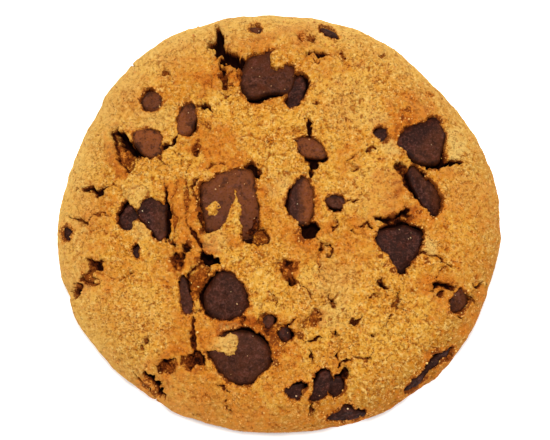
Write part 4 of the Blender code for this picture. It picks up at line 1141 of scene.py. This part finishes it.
def make_lump(name, seat, edge, rise, depth, crown, facets, seed):
    """A chocolate lump: a face of the given outline, its rounded edge, and its body narrowing below."""
    centre, across, upward, out = seat
    draw = np.random.default_rng(seed)
    turn = np.arange(CHIP_SIDES) * 2 * math.pi / CHIP_SIDES
    bearings, reach = np.arctan2(edge[:, 1], edge[:, 0]), np.hypot(edge[:, 0], edge[:, 1])
    order = np.argsort(bearings)
    radius = np.interp(turn, bearings[order], reach[order], period=2 * math.pi)
    shares = np.concatenate([np.linspace(0, 1, TOP_RINGS + 1)[1:] ** 0.8,
                             1 - BODY_NARROWS * (np.arange(1, LOW_RINGS + 1) / LOW_RINGS) ** 2])
    top = np.arange(len(shares)) < TOP_RINGS
    down = np.clip(np.arange(len(shares)) - TOP_RINGS + 1, 0, LOW_RINGS) / LOW_RINGS
    face = (rise + crown) * (1 - shares**EDGE_SQUARENESS) ** 0.5 - crown * np.minimum(shares, 1) ** 2
    x = shares[:, None] * radius * np.cos(turn)
    y = shares[:, None] * radius * np.sin(turn)
    z = np.where(top, face, -depth * down)[:, None] * np.ones(CHIP_SIDES)
    flat = np.stack([x.ravel(), y.ravel()], axis=1)
    moved = flat + 3.1 * seed
    wear = WEAR * cloud(moved, WEAR_SIZE, 41) + SCUFF * cloud(moved, SCUFF_SIZE, 42)
    z = z + wear.reshape(z.shape) * top[:, None]
    for _ in range(facets):
        lean = draw.uniform(0, 2 * math.pi)
        beyond = x * math.cos(lean) + y * math.sin(lean) - draw.uniform(*CUT_AT) * reach.mean()
        z -= np.clip(beyond, 0, None) * draw.uniform(*CUT_SLOPE) * top[:, None]
    points = np.stack([x, y, z], axis=-1).reshape(-1, 3)
    points = np.vstack([points, [[0, 0, rise], [0, 0, -depth]]])
    places = centre + points @ np.stack([across, upward, out])
    rings = np.arange(len(shares) * CHIP_SIDES).reshape(len(shares), CHIP_SIDES)
    faces = sum((band(a, b) for a, b in zip(rings[:-1], rings[1:])), [])
    pole, foot = len(points) - 2, len(points) - 1
    faces += [[pole, a, b] for a, b in zip(rings[0], np.roll(rings[0], -1))]
    faces += [[foot, b, a] for a, b in zip(rings[-1], np.roll(rings[-1], -1))]
    made = new_object(name, places, faces)
    # One at the edge where the face meets the dough, for darkening there that is partly melted chocolate
    # and partly painted shade.
    within = (1 - np.append(shares[:, None] * np.ones(CHIP_SIDES), [0, 1])) * reach.mean() - COVERED
    store(made, "edge_melt_and_shade", 1 - ease(0, EDGE_MELT_AND_SHADE_REACH, within))
    return made


def chip_seat(chip):
    """A chip's seat, and its outline there, which runs on under the dough except beside its gap."""
    loop = smooth_loop(on_plan(chip["seen"]), per_side=4)
    centre, across, upward, out = seat_of(loop)
    face = np.column_stack([loop, dome(loop[:, 0], loop[:, 1])]) - centre
    edge = np.column_stack([face @ across, face @ upward])
    turn, far = math.radians(chip["side"]), np.hypot(*edge.T)
    facing = np.clip(edge @ np.array([math.cos(turn), math.sin(turn)]) / far, 0, 1)
    edge *= (1 + (COVERED - 2 * chip.get("moat", 0.0)) * (1 - facing**2) / far)[:, None]
    return (centre - out * (chip["sink"] + CROWN), across, upward, out), edge


def base_seat(chip):
    """A base chip's seat, facing down."""
    centre = np.array([*chip["at"], BASE_CHIP_RECESS + CROWN / 2])
    return centre, np.array([1.0, 0, 0]), np.array([0, -1.0, 0]), np.array([0, 0, -1.0])


DARK = tint(50, 22, 12)
MILKY = tint(134, 70, 28)
# Pale wear, also used for thin streaks painted on as highlights.
WORN_AND_SHEEN = tint(118, 70, 58)
RUSSET = tint(92, 38, 20)
DARKEST_AND_EDGE_SHADE = tint(32, 12, 6)


def chocolate_look():
    """Dull dark or milk chocolate: patchy, scuffed pale in places with thin streaks painted on as
    highlights, darkest at its edge, partly melted chocolate and partly painted shade.
    """
    made, tree, shader, spot = new_material("chocolate", 0.42)
    patchy = noise_of(tree, spot, 1.7, 5.0, 0.7).outputs[0]
    dust = noise_of(tree, spot, 0.45, 5.0, 0.75).outputs[0]
    grit = maths(tree, "ADD", dust, patchy)
    # The edge darkened with noise: partly melted chocolate, partly painted shade.
    edge_melt_and_shade = maths(tree, "MULTIPLY_ADD", maths(tree, "SUBTRACT", grit, 1.0), 4.0, reading(tree, "edge_melt_and_shade"))
    colour = coat(tree, blend(tree, reading(tree, "milk"), DARK, MILKY),
                  (DARKEST_AND_EDGE_SHADE, step_up(tree, patchy, 0.5, 0.62), 0.55),
                  (RUSSET, step_down(tree, patchy, 0.36, 0.48), 0.45),
                  (WORN_AND_SHEEN, step_up(tree, dust, 0.53, 0.62), 0.42),
                  (DARKEST_AND_EDGE_SHADE, step_down(tree, dust, 0.36, 0.46), 0.6),
                  # Thin pale streaks painted on as highlights.
                  (WORN_AND_SHEEN, thin_lines(tree, spot, 2.4, 0.06, 0.5, 0.58), 0.3),
                  # The dark edge, partly painted shade.
                  (DARKEST_AND_EDGE_SHADE, step_up(tree, edge_melt_and_shade, 0.6, 1.4), 0.7))
    rough = node(tree, "ShaderNodeMapRange", {}, {0: patchy, 1: 0.3, 2: 0.7, 3: 0.34, 4: 0.6})
    tree.links.new(rough.outputs[0], shader.inputs["Roughness"])
    shader.inputs["Specular IOR Level"].default_value = 0.09
    surface(tree, shader, colour, grit, 0.8, 0.2)
    return made


chocolate = chocolate_look()


def dress_chip(piece, node_name, milk, lit_side=(0, 0.0)):
    """Gives a chip its chocolate, its share of milk, and a side painted paler towards a bearing as
    painted light.
    """
    spots = np.empty(len(piece.data.vertices) * 3)
    piece.data.vertices.foreach_get("co", spots)
    off = spots.reshape(-1, 3)[:, :2] / MM
    off = off - off.mean(0)
    turn = math.radians(lit_side[0])
    side = off @ np.array([math.cos(turn), math.sin(turn)]) / np.abs(off).max()
    # The side painted paler as painted light is added to the real milk share.
    store(piece, "milk", np.clip(milk + lit_side[1] * np.clip(6 * side, -1, 1), 0, 1))
    piece.data.materials.append(chocolate)
    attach(piece, "root")
    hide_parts(node_name)


chip_pieces = []
for seed, (name, chip) in enumerate(CHIPS.items()):
    seat, edge = chip_seat(chip)
    piece = make_lump(name + "_chocolate", seat, edge, CROWN, chip["depth"], chip.get("crown", DOMED),
                      chip.get("facets", 0), seed)
    dress_chip(piece, name, chip.get("pale", 0.0), chip.get("lit_side", (0, 0.0)))
    chip_pieces.append(piece)
for seed, (name, chip) in enumerate(BASE_CHIPS.items()):
    piece = make_lump(name + "_chocolate", base_seat(chip), base_outline(chip), CROWN / 2,
                      BASE_CHIP_DEPTH, 0.0, 0, BASE_CHIP_SEED + seed)
    dress_chip(piece, name, BASE_CHIP_MILK)


# Loose crumbs: grains of the skin that broke off as it cracked and lie where they fell, thickest on
# the dough round the chocolate, with a few paler ones on the chocolate itself. One small angular grain
# is repeated at random sizes and turns.

CRUMBS = {"Density": 0.8, "Smallest": 0.1, "Largest": 0.32, "Seed": 7}
CRUMBS_ON_CHOCOLATE = {"Density": 0.09, "Smallest": 0.1, "Largest": 0.26, "Seed": 11}


def crumb_tree(sizes, look):
    """Strews grains over faces, few in the tears and most by the chocolate."""
    tree, given, result = new_tree("loose crumbs", sizes)
    per_square_metre = maths(tree, "DIVIDE", given.outputs["Density"], MM * MM)
    open_skin = step_down(tree, attribute(tree, "deep"), 0.2, 0.8)
    by_chips = maths(tree, "MULTIPLY_ADD", attribute(tree, "stain"), 2.2, 0.6)
    share = maths(tree, "MULTIPLY", open_skin, by_chips)
    per_square_metre = maths(tree, "MULTIPLY", per_square_metre, share)
    points = node(tree, "GeometryNodeDistributePointsOnFaces", {"distribute_method": "RANDOM"},
                  {"Mesh": given.outputs["Geometry"], "Density": per_square_metre,
                   "Seed": given.outputs["Seed"]})
    grain = node(tree, "GeometryNodeMeshIcoSphere", {}, {"Radius": MM, "Subdivisions": 1})
    turn = node(tree, "FunctionNodeRandomValue", {"data_type": "FLOAT_VECTOR"},
                {1: (math.tau,) * 3, "Seed": given.outputs["Seed"]})
    chance = node(tree, "FunctionNodeRandomValue", {"data_type": "FLOAT"}, {"Seed": 3})
    small_ones = maths(tree, "POWER", chance.outputs[1], 3.0)
    size = node(tree, "ShaderNodeMapRange", {},
                {0: small_ones, 3: given.outputs["Smallest"], 4: given.outputs["Largest"]})
    squash = node(tree, "FunctionNodeRandomValue", {"data_type": "FLOAT_VECTOR"},
                  {0: (0.6, 0.6, 0.45), 1: (1.2, 1.2, 0.9), "Seed": 5})
    scale = node(tree, "ShaderNodeVectorMath", {"operation": "SCALE"},
                 {0: squash.outputs[0], "Scale": size.outputs[0]})
    placed = node(tree, "GeometryNodeInstanceOnPoints", {},
                  {"Points": points.outputs["Points"], "Instance": grain.outputs["Mesh"],
                   "Rotation": turn.outputs[0], "Scale": scale.outputs[0]})
    shade = node(tree, "FunctionNodeRandomValue", {"data_type": "FLOAT"}, {"Seed": 9})
    noted = node(tree, "GeometryNodeStoreNamedAttribute", {"data_type": "FLOAT", "domain": "INSTANCE"},
                 {"Geometry": placed.outputs[0], "Name": "shade", "Value": shade.outputs[1]})
    return finish_tree(tree, noted, look, result)


def crumb_look(name, dull, common, bright):
    """Dry crumb, each grain its own shade from dull to bright."""
    made, tree, shader, spot = new_material(name, 0.85)
    shade = reading(tree, "shade")
    mottle = noise_of(tree, spot, 0.3, 2.0).outputs[0]
    colour = coat(tree, blend(tree, step_up(tree, shade, 0.0, 0.7), dull, common),
                  (bright, step_up(tree, shade, 0.85, 1.0), 1.0),
                  (ORANGE, step_up(tree, mottle, 0.5, 0.7), 0.4))
    surface(tree, shader, colour, mottle, 0.4, 0.05)
    return made


def top_faces(pieces, lowest):
    """One mesh of the faces of some pieces that look up, for crumbs to lie on."""
    bm = bmesh.new()
    for piece in pieces:
        bm.from_mesh(piece.data)
    bmesh.ops.delete(bm, geom=[f for f in bm.faces if f.normal.z < lowest], context="FACES")
    mesh = bpy.data.meshes.new("crumb bed")
    bm.to_mesh(mesh)
    bm.free()
    return mesh


def scatter_crumbs(name, pieces, lowest, sizes, tree):
    """Strews crumbs on the faces of some pieces that look up at least as far as lowest."""
    made = bpy.data.objects.new(name, top_faces(pieces, lowest))
    bpy.context.scene.collection.objects.link(made)
    apply_tree(made, tree, sizes)
    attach(made, "root")
    return made


golden = crumb_look("golden crumb", tint(196, 120, 42), tint(230, 170, 78), tint(240, 194, 104))
pale = crumb_look("pale crumb", tint(200, 140, 84), tint(232, 196, 140), tint(244, 224, 186))
scatter_crumbs("loose_crumbs", [dough], 0.45, CRUMBS, crumb_tree(CRUMBS, golden))
scatter_crumbs("crumbs_on_chocolate", chip_pieces, 0.8, CRUMBS_ON_CHOCOLATE,
               crumb_tree(CRUMBS_ON_CHOCOLATE, pale))


# The setting: a pale floor just under the base that glows by its own emission, with a painted contact
# shadow where the cookie all but touches it, soft studio light from above and from the cookie's far
# side, and the camera nearly square over the face.

FLOOR_DROP = 0.2
FLOOR_HALF = 3000.0
FLOOR_GLOW = 0.85
CONTACT_REACH = 2.0
FOCAL_LENGTH = 400.0
SENSOR = 36.0
PICTURE = (550, 440)
CONTACT_SHADOW = tint(60, 44, 34)
SKY_STRENGTH = 0.34


def make_floor():
    corners = np.array([(-1, -1, 0), (1, -1, 0), (1, 1, 0), (-1, 1, 0)]) * FLOOR_HALF
    floor = new_object("floor", corners - (0, 0, FLOOR_DROP), [[0, 1, 2, 3]])
    made, tree, shader, spot = new_material("pale floor", 0.9)
    paper = noise_of(tree, spot, 40.0, 3.0).outputs[0]
    paper = blend(tree, paper, tint(252, 252, 252), tint(250, 250, 250))
    # Painted contact shadow: near the cookie, by ambient occlusion, the floor turns dark brown and its
    # glow dims.
    open_sky = node(tree, "ShaderNodeAmbientOcclusion", {}, {"Distance": CONTACT_REACH * MM})
    open_sky = maths(tree, "POWER", open_sky.outputs["AO"], 2.0)
    tree.links.new(blend(tree, open_sky, CONTACT_SHADOW, paper), shader.inputs["Base Color"])
    shader.inputs["Emission Color"].default_value = (1, 1, 1, 1)
    tree.links.new(part_of(tree, open_sky, FLOOR_GLOW), shader.inputs["Emission Strength"])
    floor.data.materials.append(made)


def add_light(name, place, size, power, aim=(0, 0, 0.008)):
    lamp = bpy.data.lights.new(name, "AREA")
    lamp.shape = "DISK"
    lamp.size = size
    lamp.energy = power
    made = bpy.data.objects.new(name, lamp)
    made.location = place
    made.rotation_euler = (Vector(aim) - Vector(place)).to_track_quat("-Z", "Y").to_euler()
    bpy.context.scene.collection.objects.link(made)


def add_camera():
    lens = bpy.data.cameras.new("camera")
    lens.lens = FOCAL_LENGTH
    lens.sensor_width = SENSOR
    far = FOCAL_LENGTH / SENSOR * PICTURE[0] * PIXEL
    right = (PICTURE[0] / 2 - SEEN_CENTRE[0]) * PIXEL
    up = (SEEN_CENTRE[1] - PICTURE[1] / 2) * PIXEL
    sine, cosine = math.sin(SEEN_TILT), math.cos(SEEN_TILT)
    aim = Vector((right, up * cosine, SEEN_HEIGHT + up * sine))
    made = bpy.data.objects.new("camera", lens)
    made.location = (aim + Vector((0, -far * sine, far * cosine))) * MM
    made.rotation_euler = (SEEN_TILT, 0, 0)
    lens.clip_start, lens.clip_end = 0.01, 20.0
    bpy.context.scene.collection.objects.link(made)
    bpy.context.scene.camera = made


make_floor()
add_light("key", (-0.04, 0.26, 1.55), 0.28, 20.0)
add_light("fill", (0.3, -0.3, 1.1), 0.6, 2.0)
add_camera()
world = bpy.data.worlds.new("studio")
world.use_nodes = True
world.node_tree.nodes["Background"].inputs["Color"].default_value = (1, 1, 1, 1)
world.node_tree.nodes["Background"].inputs["Strength"].default_value = SKY_STRENGTH
bpy.context.scene.world = world
bpy.context.scene.view_settings.view_transform = "Standard"
